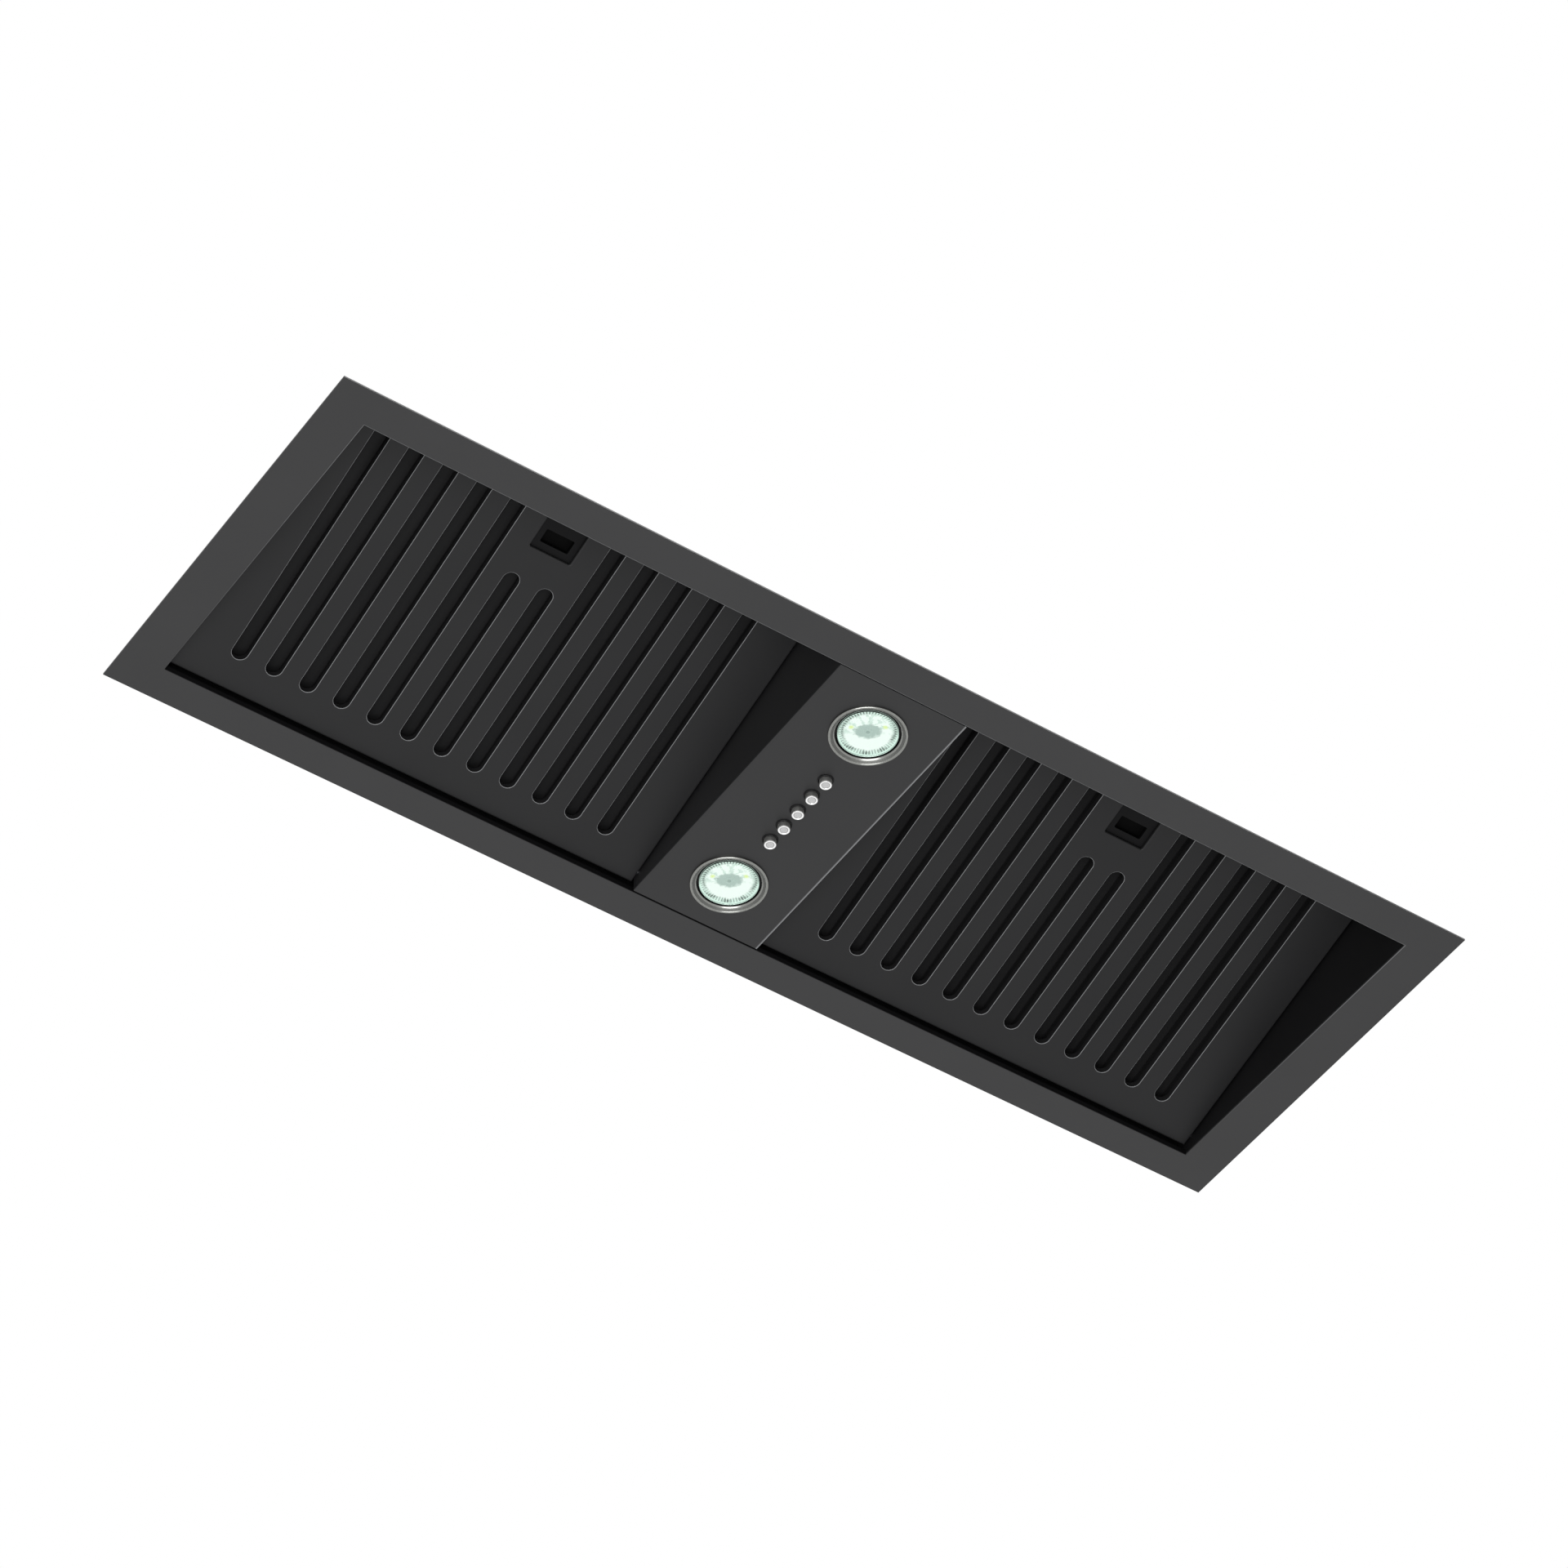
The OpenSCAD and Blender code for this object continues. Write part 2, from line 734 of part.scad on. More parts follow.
// The thin collars that line the button holes
module button_collars() {
    inner = button_d / 2 + slide;
    color(c_plastic) for (i = [-2:2]) in_button(i) {
        translate([0, 0, -collar_t]) ring(inner + 2 * collar_wall, inner, collar_t);
        ring(inner + collar_wall, inner, collar_h);
    }
}

// A push-button: cap, shoulder and stem
module button(i) {
    color(c_chrome) in_button(i) {
        translate([0, 0, -button_out]) cylinder(d = button_d, h = button_out + collar_h + slide);
        translate([0, 0, collar_h + slide])
            cylinder(r = button_d / 2 + slide + collar_wall, h = shoulder_h);
        cylinder(d = stem_d, h = stem_top);
    }
}

// Return springs between the button shoulders and the switch block
module button_springs() {
    low = collar_h + slide + shoulder_h;
    color(c_zinc) for (i = [-2:2]) in_button(i) translate([0, 0, low])
        ring(stem_d / 2 + slide + spring_wall, stem_d / 2 + slide, switch_z - low);
}

module button_off() { button(-2); }
module button_low() { button(-1); }
module button_medium() { button(0); }
module button_high() { button(1); }
module button_light() { button(2); }

// A point on the scroll's spiral wall, pushed outwards by some amount
function spiral(a, out) = let (r = scroll_r0 + (scroll_r1 - scroll_r0) * (a - tongue_angle)
    / (360 - tongue_angle) + out) [shaft_y + r * cos(a), shaft_z + r * sin(a)];

// The angles at which the spiral has its points
spiral_steps = 36;
spiral_angles = [for (i = [0:spiral_steps]) tongue_angle + i * (360 - tongue_angle) / spiral_steps];

// The corner where the outlet's straight wall meets the outside of the spiral
tongue_corner = [tongue_y - sheet_t,
    shaft_z + sqrt(pow(scroll_r0 + sheet_t, 2) - pow(tongue_y - sheet_t - shaft_y, 2))];

// The outside of the scroll, from the outlet's rear wall round to the top of its front wall
scroll_outside = concat([[outlet_y + sheet_t, top_z]],
    [for (i = [spiral_steps:-1:1]) spiral(spiral_angles[i], sheet_t)],
    [tongue_corner, [tongue_y - sheet_t, top_z]]);

// The spiral wall round the impeller, opening upwards into the outlet
module blower_scroll() {
    inner = [for (a = spiral_angles) spiral(a, 0)];
    color(c_zinc) along_x(scroll_w)
        polygon(concat([[tongue_y, top_z]], inner, [[outlet_y, top_z]], scroll_outside));
}

// One flat side of the blower, with its round inlet
module blower_side() {
    color(c_zinc) translate([(scroll_w + sheet_t) / 2, 0, 0]) difference() {
        along_x(sheet_t) polygon(scroll_outside);
        translate([0, shaft_y, shaft_z]) rotate([0, 90, 0])
            cylinder(r = inlet_r, h = sheet_t + 2 * eps, center = true);
    }
}

module blower_side_left() { mirror([1, 0, 0]) blower_side(); }

module blower_side_right() { blower_side(); }

// Puts a child with its axis on the shaft, its z along X
module on_shaft(x) {
    translate([x, shaft_y, shaft_z]) rotate([0, 90, 0]) children();
}

// The blades on their centre disc, and the hub on the shaft
module impeller() {
    r = impeller_d / 2;
    bore_r = shaft_d / 2 + fit / 2;
    color(c_zinc) {
        on_shaft(-impeller_w / 2 + ring_t) linear_extrude(impeller_w - 2 * ring_t)
            for (i = [0:blade_count - 1])
                rotate(i * 360 / blade_count) translate([r - blade_depth / 2, 0])
                    rotate(blade_lean) square([blade_depth, blade_t], center = true);
        on_shaft(0) ring(r - blade_depth / 2, bore_r, disc_t);
        on_shaft(-hub_back) ring(shaft_d, bore_r, hub_len);
    }
}

// The rings that the blades end in
module impeller_rings() {
    color(c_zinc) for (x = [-impeller_w / 2, impeller_w / 2 - ring_t])
        on_shaft(x) ring(impeller_d / 2, impeller_d / 2 - ring_w, ring_t);
}

module motor_shaft() {
    start = motor_back + shaft_set_back;
    color(c_zinc) on_shaft(start) cylinder(d = shaft_d, h = hub_len - hub_back + shaft_past_hub - start);
}

// The motor's can, open along its shaft
module motor_body() {
    color(c_zinc) on_shaft(motor_back) difference() {
        cylinder(d = motor_d, h = motor_len);
        translate([0, 0, motor_floor]) cylinder(d = shaft_d + 2 * fit, h = motor_len);
    }
}

// The three-armed bracket that hangs the motor in the left inlet
module motor_bracket() {
    color(c_black) on_shaft(motor_back - arm_t) {
        cylinder(d = eye_d, h = arm_t);
        for (i = [0:2]) rotate(60 + i * 120) {
            translate([0, -arm_w / 2, 0]) cube([bush_r, arm_w, arm_t]);
            translate([bush_r, 0, 0]) cylinder(d = arm_w, h = arm_t);
        }
    }
}

// Rubber bushes between the bracket's arms and the blower's side
module motor_bushes() {
    color(c_plastic) on_shaft(motor_back) for (i = [0:2])
        rotate(60 + i * 120) translate([bush_r, 0, 0]) cylinder(d = bush_d, h = bush_len);
}

// The duct collar: base ring, tube and the ledge that the flaps rest on
module duct_collar() {
    color(c_black) translate([0, duct_back, base_z]) difference() {
        union() {
            ring(duct_r + collar_rim, duct_r - duct_t, duct_t);
            ring(duct_r, duct_r - duct_t, duct_h);
            translate([0, 0, flap_z - base_z - slide - stop_t])
                ring(duct_r - eps, duct_r - duct_t - stop_w, stop_t);
        }
        translate([0, -duct_back, 0]) at_collar_screws() screw_holes(-eps, duct_t + eps);
        for (side = [-1, 1])
            translate([side * pin_offset, 0, flap_z - base_z + flap_t / 2]) rotate([90, 0, 0])
                cylinder(d = damper_pin_d, h = duct_d + 2 * eps, center = true);
    }
}

module collar_gasket() {
    color(c_plastic) difference() {
        translate([0, duct_back, case_h]) ring(duct_r + collar_rim, duct_r, gasket_t);
        at_collar_screws() screw_holes(case_h - eps, base_z + eps);
    }
}

// One half-round damper flap with its curled barrel, drawn at the right-hand side
module damper_flap() {
    r = duct_r - duct_t - flap_gap;
    axis = [pin_offset, 0, flap_t / 2];
    barrel_r = damper_pin_d / 2 + fit + barrel_t;
    color(c_zinc) translate([0, duct_back, flap_z]) difference() {
        union() {
            intersection() {
                cylinder(r = r, h = flap_t);
                block([pin_offset, -r, 0], [r, r, flap_t]);
            }
            translate(axis) rotate([90, 0, 0])
                cylinder(r = barrel_r, h = 2 * (r - barrel_inset), center = true);
        }
        translate(axis) rotate([90, 0, 0])
            cylinder(d = damper_pin_d + 2 * fit, h = 2 * r + 2 * eps, center = true);
    }
}

module damper_flap_left() { mirror([1, 0, 0]) damper_flap(); }

module damper_flap_right() { damper_flap(); }

module damper_pins() {
    color(c_zinc) for (side = [-1, 1])
        translate([side * pin_offset, duct_back, flap_z + flap_t / 2])
            rotate([90, 0, 0]) cylinder(d = damper_pin_d, h = duct_d - 2 * pin_inset, center = true);
}

// The wiring box under the top panel, open below until its cover is on
module junction_box() {
    color(c_zinc) translate([box_x, box_y, top_z - box_h]) difference() {
        block([-box_w / 2, -box_d / 2, 0], [box_w / 2, box_d / 2, box_h]);
        block([-box_w / 2 + box_t, -box_d / 2 + box_t, -eps],
            [box_w / 2 - box_t, box_d / 2 - box_t, box_h - box_t]);
        translate([0, 0, box_h - box_t - eps]) cylinder(d = gland_d + 2 * fit, h = box_t + 2 * eps);
        translate([box_w / 2 - box_t - eps, lead_y - box_y, lead_z - top_z + box_h]) rotate([0, 90, 0])
            cylinder(d = lead_d + 2 * slide, h = box_t + 2 * eps);
    }
}

module junction_cover() {
    color(c_zinc) translate([box_x, box_y, top_z - box_h - box_t])
        block([-box_w / 2, -box_d / 2, 0], [box_w / 2, box_d / 2, box_t]);
}

// The cable gland on top of the case, with its threaded part through both sheets
module cable_gland() {
    stem = sheet_t + box_t + gland_stem;
    height = gland_nut_h + gland_cap_h;
    color(c_plastic) translate([box_x, box_y, case_h]) difference() {
        union() {
            cylinder(d = gland_nut_d, h = gland_nut_h, $fn = 6);
            translate([0, 0, gland_nut_h]) cylinder(d = gland_cap_d, h = gland_cap_h);
            translate([0, 0, -stem]) cylinder(d = gland_d, h = stem);
        }
        translate([0, 0, -stem - eps]) cylinder(d = cable_d, h = stem + height + 2 * eps);
    }
}

// The motor's run capacitor, hung from the top panel
module capacitor() {
    color(c_zinc) translate([cap_x, duct_back, top_z - cap_len]) {
        cylinder(d = cap_d, h = cap_len);
        for (side = [-1, 1]) translate([side * cap_tag_out, 0, -cap_tag_h]) tag(cap_tag_h);
    }
}

// The lamps' power supply, under the top panel
module led_driver() {
    size = driver_size;
    color(c_plastic) translate([driver_x, duct_back, top_z]) {
        block([-size.x / 2, -size.y / 2, -size.z], [size.x / 2, size.y / 2, 0]);
        block([-size.x / 2 - driver_foot, -size.y / 4, -driver_foot_t],
            [size.x / 2 + driver_foot, size.y / 4, 0]);
    }
}

// The lead inside the case: from the wiring box along the back and down into the control strip
module wiring() {
    start = box_x + box_w / 2 - box_t - lead_end;
    low = face_z + strip_h - lead_drop;
    color(c_plastic) {
        translate([start, lead_y, lead_z]) rotate([0, 90, 0]) cylinder(d = lead_d, h = lead_x - start);
        translate([lead_x, lead_y, lead_z]) sphere(d = lead_d);
        translate([lead_x, lead_y, low]) cylinder(d = lead_d, h = lead_z - low);
    }
}

module case_screws() {
    color(c_zinc) {
        translate([0, 0, case_h]) at_top_screws() screw();
        translate([0, 0, base_z + duct_t]) at_collar_screws() screw();
    }
}

flange_frame();
neck_frame();
front_panel();
rear_panel();
left_end_plate();
right_end_plate();
top_panel();
front_rail_left();
front_rail_right();
control_panel();
housing_cover();
hinge_studs();
filter_face_left();
filter_baffles_left();
latch_guide_left();
latch_slider_left();
latch_spring_left();
filter_face_right();
filter_baffles_right();
latch_guide_right();
latch_slider_right();
latch_spring_right();
lamp_ring_front();
lamp_ring_rear();
lamp_glass_front();
lamp_glass_rear();
lamp_boards();
lamp_body_front();
lamp_body_rear();
lamp_clips();
switch_body();
switch_cover();
button_collars();
button_springs();
button_off();
button_low();
button_medium();
button_high();
button_light();
blower_scroll();
blower_side_left();
blower_side_right();
impeller();
impeller_rings();
motor_shaft();
motor_body();
motor_bracket();
motor_bushes();
duct_collar();
collar_gasket();
damper_flap_left();
damper_flap_right();
damper_pins();
junction_box();
junction_cover();
cable_gland();
capacitor();
led_driver();
wiring();
case_screws();
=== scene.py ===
"""Undermount range hood, seen from below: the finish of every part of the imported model.

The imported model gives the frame: X to the user's right, Y towards the wall, Z up, in metres, with the
flange's seating face on z = 0. The flange and its neck, the control strip, the filters' slotted faces and
latch plates, the lamps, the push-buttons with their collars, and the springs replace their plain solids.
Every other node keeps its shape and gets its material. The duct collar gets its hem and bend as well.
"""

import logging
import math
from dataclasses import dataclass, replace
from enum import Enum
from typing import Any, Iterable, Sequence

import bmesh
import bpy
import numpy as np
from mathutils import Matrix, Vector
from mathutils.geometry import delaunay_2d_cdt


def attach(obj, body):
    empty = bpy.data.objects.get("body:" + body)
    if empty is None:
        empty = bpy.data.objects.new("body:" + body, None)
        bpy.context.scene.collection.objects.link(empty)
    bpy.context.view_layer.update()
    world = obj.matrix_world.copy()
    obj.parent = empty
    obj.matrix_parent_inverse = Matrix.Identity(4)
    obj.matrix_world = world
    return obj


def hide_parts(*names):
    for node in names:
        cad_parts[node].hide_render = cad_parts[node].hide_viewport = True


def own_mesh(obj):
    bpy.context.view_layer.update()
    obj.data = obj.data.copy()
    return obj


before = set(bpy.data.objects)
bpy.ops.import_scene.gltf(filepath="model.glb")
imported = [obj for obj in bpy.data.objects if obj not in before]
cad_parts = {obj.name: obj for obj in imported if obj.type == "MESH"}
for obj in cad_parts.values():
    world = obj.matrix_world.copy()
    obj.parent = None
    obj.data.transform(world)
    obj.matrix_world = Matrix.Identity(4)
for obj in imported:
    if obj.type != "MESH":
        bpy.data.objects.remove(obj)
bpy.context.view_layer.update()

log = logging.getLogger("hood")
MM = 0.001
LAMP_PITCH = 160 * MM
BUTTON_PITCH = 16 * MM
STRIP_FACE_Z = -1.5 * MM
# the mesh attribute that holds the painted pale edge highlight, from 0 to 1
EDGE_HIGHLIGHT = "painted_edge_highlight"
SMOOTH_BELOW = 35.0  # degrees: flatter edges are shaded smooth
SAME_PLACE = 1e-6  # points of a piece that lie nearer than this are merged
TINY = 1e-7  # a shorter edge is no edge
CORNER_POINTS = 8  # points on a hole's rounded corner
BEND_STEPS = 6  # steps round a sheet's bend
INSIDE = 1  # the triangulation keeps the triangles inside its edges
EPSILON = 1e-9  # the triangulation's own tolerance
WHITE = (1.0, 1.0, 1.0, 1.0)
RISING = ("#000000", "#ffffff")  # the ends of a ramp on which a layer comes in
FALLING = ("#ffffff", "#000000")  # the ends of one on which it goes out
Pair = tuple[float, float]
Triple = tuple[float, float, float]
Colour = tuple[float, float, float, float]
Tree = bpy.types.NodeTree
Socket = bpy.types.NodeSocket


class Choice(Enum):
    """A choice whose name, in lower case, is part of the names of nodes and bodies."""

    @property
    def word(self) -> str:
        """The name in lower case."""
        return self.name.lower()


class Side(Choice):
    """The two hands of a paired part, with the sign of their X."""

    LEFT = -1
    RIGHT = 1


class Row(Choice):
    """The two lamps, with the sign of their Y."""

    FRONT = -1
    REAR = 1

    @property
    def y(self) -> float:
        """Where the lamp's axis stands."""
        return self.value * LAMP_PITCH / 2


class Key(Choice):
    """The five push-buttons, with their place along the strip in pitches from the middle."""

    OFF = -2
    LOW = -1
    MEDIUM = 0
    HIGH = 1
    LIGHT = 2

    @property
    def y(self) -> float:
        """Where the button's axis stands."""
        return self.value * BUTTON_PITCH


# Surfaces


@dataclass(frozen=True)
class Surface:
    """Points, the faces that join them, and how strongly a pale edge highlight is painted at each point,
    from 0 to 1.
    """

    points: np.ndarray
    faces: list[tuple[int, ...]]
    painted_highlight: np.ndarray | None = None

    @property
    def highlight_share(self) -> np.ndarray:
        """The painted edge highlight at each point, none if it wasn't given."""
        return np.zeros(len(self.points)) if self.painted_highlight is None else self.painted_highlight

    def moved(self, y: float, z: float = 0.0) -> "Surface":
        """The same surface, shifted along Y and Z."""
        return replace(self, points=self.points + np.array([0.0, y, z]))

    def flipped(self) -> "Surface":
        """The same surface with its faces turned over."""
        return replace(self, faces=[face[::-1] for face in self.faces])

    def mirrored_x(self) -> "Surface":
        """The same surface mirrored across x = 0, with its faces turned back outwards."""
        return replace(self.flipped(), points=self.points * np.array([-1.0, 1.0, 1.0]))

    def reordered(self, *axes: int) -> "Surface":
        """The same surface with its coordinates in another order: (0, 2, 1) swaps Y and Z."""
        return replace(self, points=self.points[:, axes])

    def highlighted_where(self, chosen: np.ndarray) -> "Surface":
        """The same surface with a pale highlight painted at the chosen points."""
        return replace(self, painted_highlight=np.where(chosen, 1.0, self.highlight_share))


def joined(*surfaces: Surface) -> Surface:
    """Puts surfaces together as one, their points counted on from each other.

    Args:
        surfaces: The surfaces, in order.

    Returns:
        One surface with all their points, faces and painted edge highlights.
    """
    starts = np.cumsum([0] + [len(s.points) for s in surfaces[:-1]])
    faces = [tuple(int(i + start) for i in face) for s, start in zip(surfaces, starts) for face in s.faces]
    points = np.concatenate([s.points for s in surfaces])
    return Surface(points, faces, np.concatenate([s.highlight_share for s in surfaces]))


def grid(points: np.ndarray, wrap_u: bool = False, wrap_v: bool = False) -> Surface:
    """Joins a grid of points with four-sided faces.

    Args:
        points: Array of shape (u, v, 3).
        wrap_u: Whether the last row joins the first.
        wrap_v: Whether the last column joins the first.

    Returns:
        The surface; its faces turn from u towards v.
    """
    nu, nv = points.shape[:2]
    u = np.arange(nu if wrap_u else nu - 1)[:, None]
    v = np.arange(nv if wrap_v else nv - 1)[None, :]
    u1, v1 = (u + 1) % nu, (v + 1) % nv
    corners = np.stack(np.broadcast_arrays(u * nv + v, u1 * nv + v, u1 * nv + v1, u * nv + v1), -1)
    return Surface(points.reshape(-1, 3), [tuple(c) for c in corners.reshape(-1, 4).tolist()])


def rows_marked(chosen: Sequence[int], rows: int, length: int) -> np.ndarray:
    """Which points of a grid of so many rows of a length lie in the chosen rows."""
    return np.repeat(np.isin(np.arange(rows), chosen), length)


def revolved(profile: Sequence[Pair], steps: int = 96, closed: bool = False) -> Surface:
    """Turns a profile in millimetres about the Z axis.

    Each profile point (r, z) becomes the circle (r cos a, r sin a, z). A profile that starts or ends at
    r = 0 closes there once its doubles are merged.

    Args:
        profile: Points (r, z), in order.
        steps: Number of steps round the axis.
        closed: Whether the profile's last point joins its first.

    Returns:
        The surface.
    """
    r, z = (np.array(profile, dtype=float) * MM).T
    a = np.linspace(0, 2 * math.pi, steps, endpoint=False)[:, None]
    points = np.stack([r * np.cos(a), r * np.sin(a), np.broadcast_to(z, (steps, len(z)))], -1)
    return grid(points, wrap_u=True, wrap_v=closed)


def arc(centre: Pair, radius: float, start: float, end: float, steps: int) -> list[Pair]:
    """Points of a circle's arc in a profile plane, from one angle in degrees to another."""
    a = np.radians(np.linspace(start, end, steps + 1))
    return list(zip((centre[0] + radius * np.cos(a)).tolist(), (centre[1] + radius * np.sin(a)).tolist()))


def swept_y(profile: Sequence[Pair], y0: float, y1: float) -> Surface:
    """Carries an open profile straight along Y: each (x, z) becomes the line from (x, y0, z) to (x, y1, z).

    Args:
        profile: Points (x, z), in order.
        y0: Where the sweep starts.
        y1: Where it ends.

    Returns:
        The surface, a grid of two rows.
    """
    x, z = np.array(profile, dtype=float).T
    y = np.array([[y0], [y1]])
    return grid(np.stack(np.broadcast_arrays(x, y, z), -1))


def rectangle(low: Pair, high: Pair) -> np.ndarray:
    """The corners of a rectangle, anticlockwise."""
    return np.array([low, (high[0], low[1]), high, (low[0], high[1])])


def raised(flat: np.ndarray, z: float) -> np.ndarray:
    """Points (x, y) as points (x, y, z) at one height."""
    return np.column_stack([flat, np.full(len(flat), z)])


def framed(low: Pair, high: Pair, profile: Sequence[Triple], closed: bool = False) -> Surface:
    """Carries a profile round a rectangle with mitred corners.

    Each profile point (out_x, out_y, z) becomes the rectangle grown by out_x and out_y, at height z.

    Args:
        low: The rectangle's low corner.
        high: Its high corner.
        profile: Points (out_x, out_y, z), in order.
        closed: Whether the profile's last point joins its first.

    Returns:
        The surface, a grid with a row for each profile point.
    """
    corners, outwards = rectangle(low, high), rectangle((-1.0, -1.0), (1.0, 1.0))
    rings = np.stack([raised(corners + outwards * (out_x, out_y), z) for out_x, out_y, z in profile])
    return grid(rings, wrap_u=closed, wrap_v=True)


def solid_box(low: Triple, high: Triple) -> Surface:
    """A closed box with its faces outwards: every choice of low or high for x, y and z is a corner.

    Args:
        low: Its low corner.
        high: Its high corner.

    Returns:
        The surface.
    """
    x, y, z = zip(low, high)
    points = np.array([[x[i], y[j], z[k]] for i in (0, 1) for j in (0, 1) for k in (0, 1)])
    sides = [(0, 1, 3, 2), (4, 6, 7, 5), (0, 4, 5, 1), (2, 3, 7, 6), (0, 2, 6, 4), (1, 5, 7, 3)]
    return Surface(points, sides)


def within(points: np.ndarray, loop: np.ndarray) -> np.ndarray:
    """Which points lie inside a loop: those from which a ray along +X crosses it an odd number of times.

    Args:
        points: Points (x, y).
        loop: The corners (x, y) of a closed loop.

    Returns:
        For each point, whether it lies inside.
    """
    x, y = points[:, 0:1], points[:, 1:2]
    ax, ay = loop.T
    bx, by = np.roll(loop, -1, axis=0).T
    spans = (ay > y) != (by > y)
    crossing = ax + (y - ay) * (bx - ax) / np.where(by == ay, 1.0, by - ay)
    return (spans & (x < crossing)).sum(axis=1) % 2 == 1


def pierced(outline: np.ndarray, holes: Sequence[np.ndarray], z: float = 0.0) -> Surface:
    """A flat sheet with holes, facing down.

    The outline and the holes are closed loops of (x, y) points; the area between them is filled with
    triangles that keep every loop's own points, so lips and folds join it point to point.

    Args:
        outline: The sheet's edge.
        holes: The edges of its holes.
        z: Its height.

    Returns:
        The surface.
    """
    loops = [outline, *holes]
    starts = np.cumsum([0] + [len(loop) for loop in loops]).tolist()
    edges = [(a + i, a + (i + 1) % (b - a)) for a, b in zip(starts, starts[1:]) for i in range(b - a)]
    corners = [Vector(p) for loop in loops for p in loop.tolist()]
    points, _, faces, *_ = delaunay_2d_cdt(corners, edges, [], INSIDE, EPSILON)
    flat = np.array([tuple(p) for p in points])
    middles = flat[np.array(faces)].mean(axis=1)
    cut = np.any([within(middles, hole) for hole in holes], axis=0) if holes else np.zeros(len(faces), bool)
    kept = [tuple(face[::-1]) for face, gone in zip(faces, cut) if not gone]
    return Surface(raised(flat, z), kept)


@dataclass(frozen=True)
class Hole:
    """A round-cornered hole in a sheet whose rim rolls upwards.

    Fields are in metres: the hole's middle, its width along X, its length along Y, the radius of the roll,
    the height of the folded edge above the face, the radius of the hole's corners, whether a pale highlight
    is painted on the roll, and the width of the flat margin round the roll.
    """

    x: float
    y: float
    width: float
    length: float
    bend: float
    depth: float
    corner: float
    # whether the roll gets the painted pale highlight
    wear_and_highlight: bool = True
    flat: float = 0.6 * MM

    def loop(self, grow: float) -> np.ndarray:
        """The rounded rectangle round the hole, grown outwards by some amount.

        Each corner is a quarter circle of radius corner + grow about a fixed centre.

        Args:
            grow: How far it is grown.

        Returns:
            Its points (x, y), anticlockwise.
        """
        cx, cy = self.width / 2 - self.corner, self.length / 2 - self.corner
        r = self.corner + grow
        corners = []
        for k, (sx, sy) in enumerate(((1, 1), (-1, 1), (-1, -1), (1, -1))):
            a = np.linspace(0, math.pi / 2, CORNER_POINTS) + k * math.pi / 2
            corners.append(np.stack([sx * cx + r * np.cos(a), sy * cy + r * np.sin(a)], -1))
        points = np.concatenate(corners)
        fresh = np.linalg.norm(points - np.roll(points, 1, axis=0), axis=1) > TINY
        return points[fresh] + np.array([self.x, self.y])

    def edge(self) -> np.ndarray:
        """The loop where the flat sheet ends and the rim begins."""
        return self.loop(self.bend + self.flat)

    def rim(self, z: float) -> Surface:
        """The flat margin, the roll and the folded edge, facing down and into the hole.

        The roll runs through grow = bend (1 - sin t), rise = bend (1 - cos t) for t from 0 to 90 degrees.
        A pale highlight is painted on its middle rows when the hole asks for one.

        Args:
            z: The height of the sheet's face.

        Returns:
            The surface, a grid with a row for each step from the edge inwards.
        """
        turn = np.radians(np.linspace(0, 90, BEND_STEPS + 1))
        grow = np.concatenate([[self.bend + self.flat], self.bend * (1 - np.sin(turn)), [0.0]])
        rise = np.concatenate([[0.0], self.bend * (1 - np.cos(turn)), [self.depth]])
        loops = np.stack([raised(self.loop(out), z + up) for out, up in zip(grow, rise)])
        middle = BEND_STEPS // 2
        # painted highlight: the roll's middle rows get the pale edge tone
        turned = rows_marked((middle, middle + 1), *loops.shape[:2])
        return grid(loops, wrap_v=True).highlighted_where(turned & self.wear_and_highlight)


@dataclass(frozen=True)
class Tilt:
    """A turn about X and a shift, from a filter's own frame to the hood's."""

    x: float
    y: float
    z: float
    degrees: float

    def place(self, surface: Surface) -> Surface:
        """Turns a surface's (y, z) by the angle, then shifts it.

        Args:
            surface: A surface in the filter's own frame.

        Returns:
            The surface in the hood's frame.
        """
        c, s = math.cos(math.radians(self.degrees)), math.sin(math.radians(self.degrees))
        x, y, z = surface.points.T
        points = np.stack([x + self.x, y * c - z * s + self.y, y * s + z * c + self.z], -1)
        return replace(surface, points=points)


# Finishes


def srgb(code: str) -> Colour:
    """Turns an sRGB hex value to a linear colour.

    Args:
        code: The value, such as "#2b2b2b".

    Returns:
        Red, green, blue and an alpha of 1.
    """
    channels = [int(code[i:i + 2], 16) / 255 for i in (1, 3, 5)]
    linear = [c / 12.92 if c <= 0.04045 else ((c + 0.055) / 1.055) ** 2.4 for c in channels]
    return (*linear, 1.0)


def feed(node: bpy.types.Node, inputs: dict[Any, Any]) -> None:
    """Puts values into a node's sockets, or links other nodes' outputs to them.

    Args:
        node: The node.
        inputs: For each socket's name or number, a value or another node's output socket.
    """
    for key, value in inputs.items():
        if isinstance(value, Socket):
            node.id_data.links.new(value, node.inputs[key])
        else:
            node.inputs[key].default_value = value


def add_node(tree: Tree, kind: str, inputs: dict[Any, Any] | None = None,
             stops: Sequence[tuple[float, str]] = (), **settings: Any) -> Any:
    """Adds a shader node with its settings and links.

    Args:
        tree: The node tree.
        kind: The node's type name, without "ShaderNode".
        inputs: For each socket's name or number, a value or another node's output socket.
        stops: The places and hex colours of a colour ramp.
        settings: The node's own attributes.

    Returns:
        The node's outputs.
    """
    node = tree.nodes.new("ShaderNode" + kind)
    for name, value in settings.items():
        setattr(node, name, value)
    for _ in stops[2:]:
        node.color_ramp.elements.new(0.5)
    for i, (place, code) in enumerate(stops):
        node.color_ramp.elements[i].position = place
        node.color_ramp.elements[i].color = srgb(code)
    feed(node, inputs or {})
    return node.outputs


def new_material(name: str) -> bpy.types.Material:
    """Makes a material with its node tree.

    Args:
        name: Its name.

    Returns:
        The material.
    """
    made = bpy.data.materials.new(name)
    made.use_nodes = True
    return made


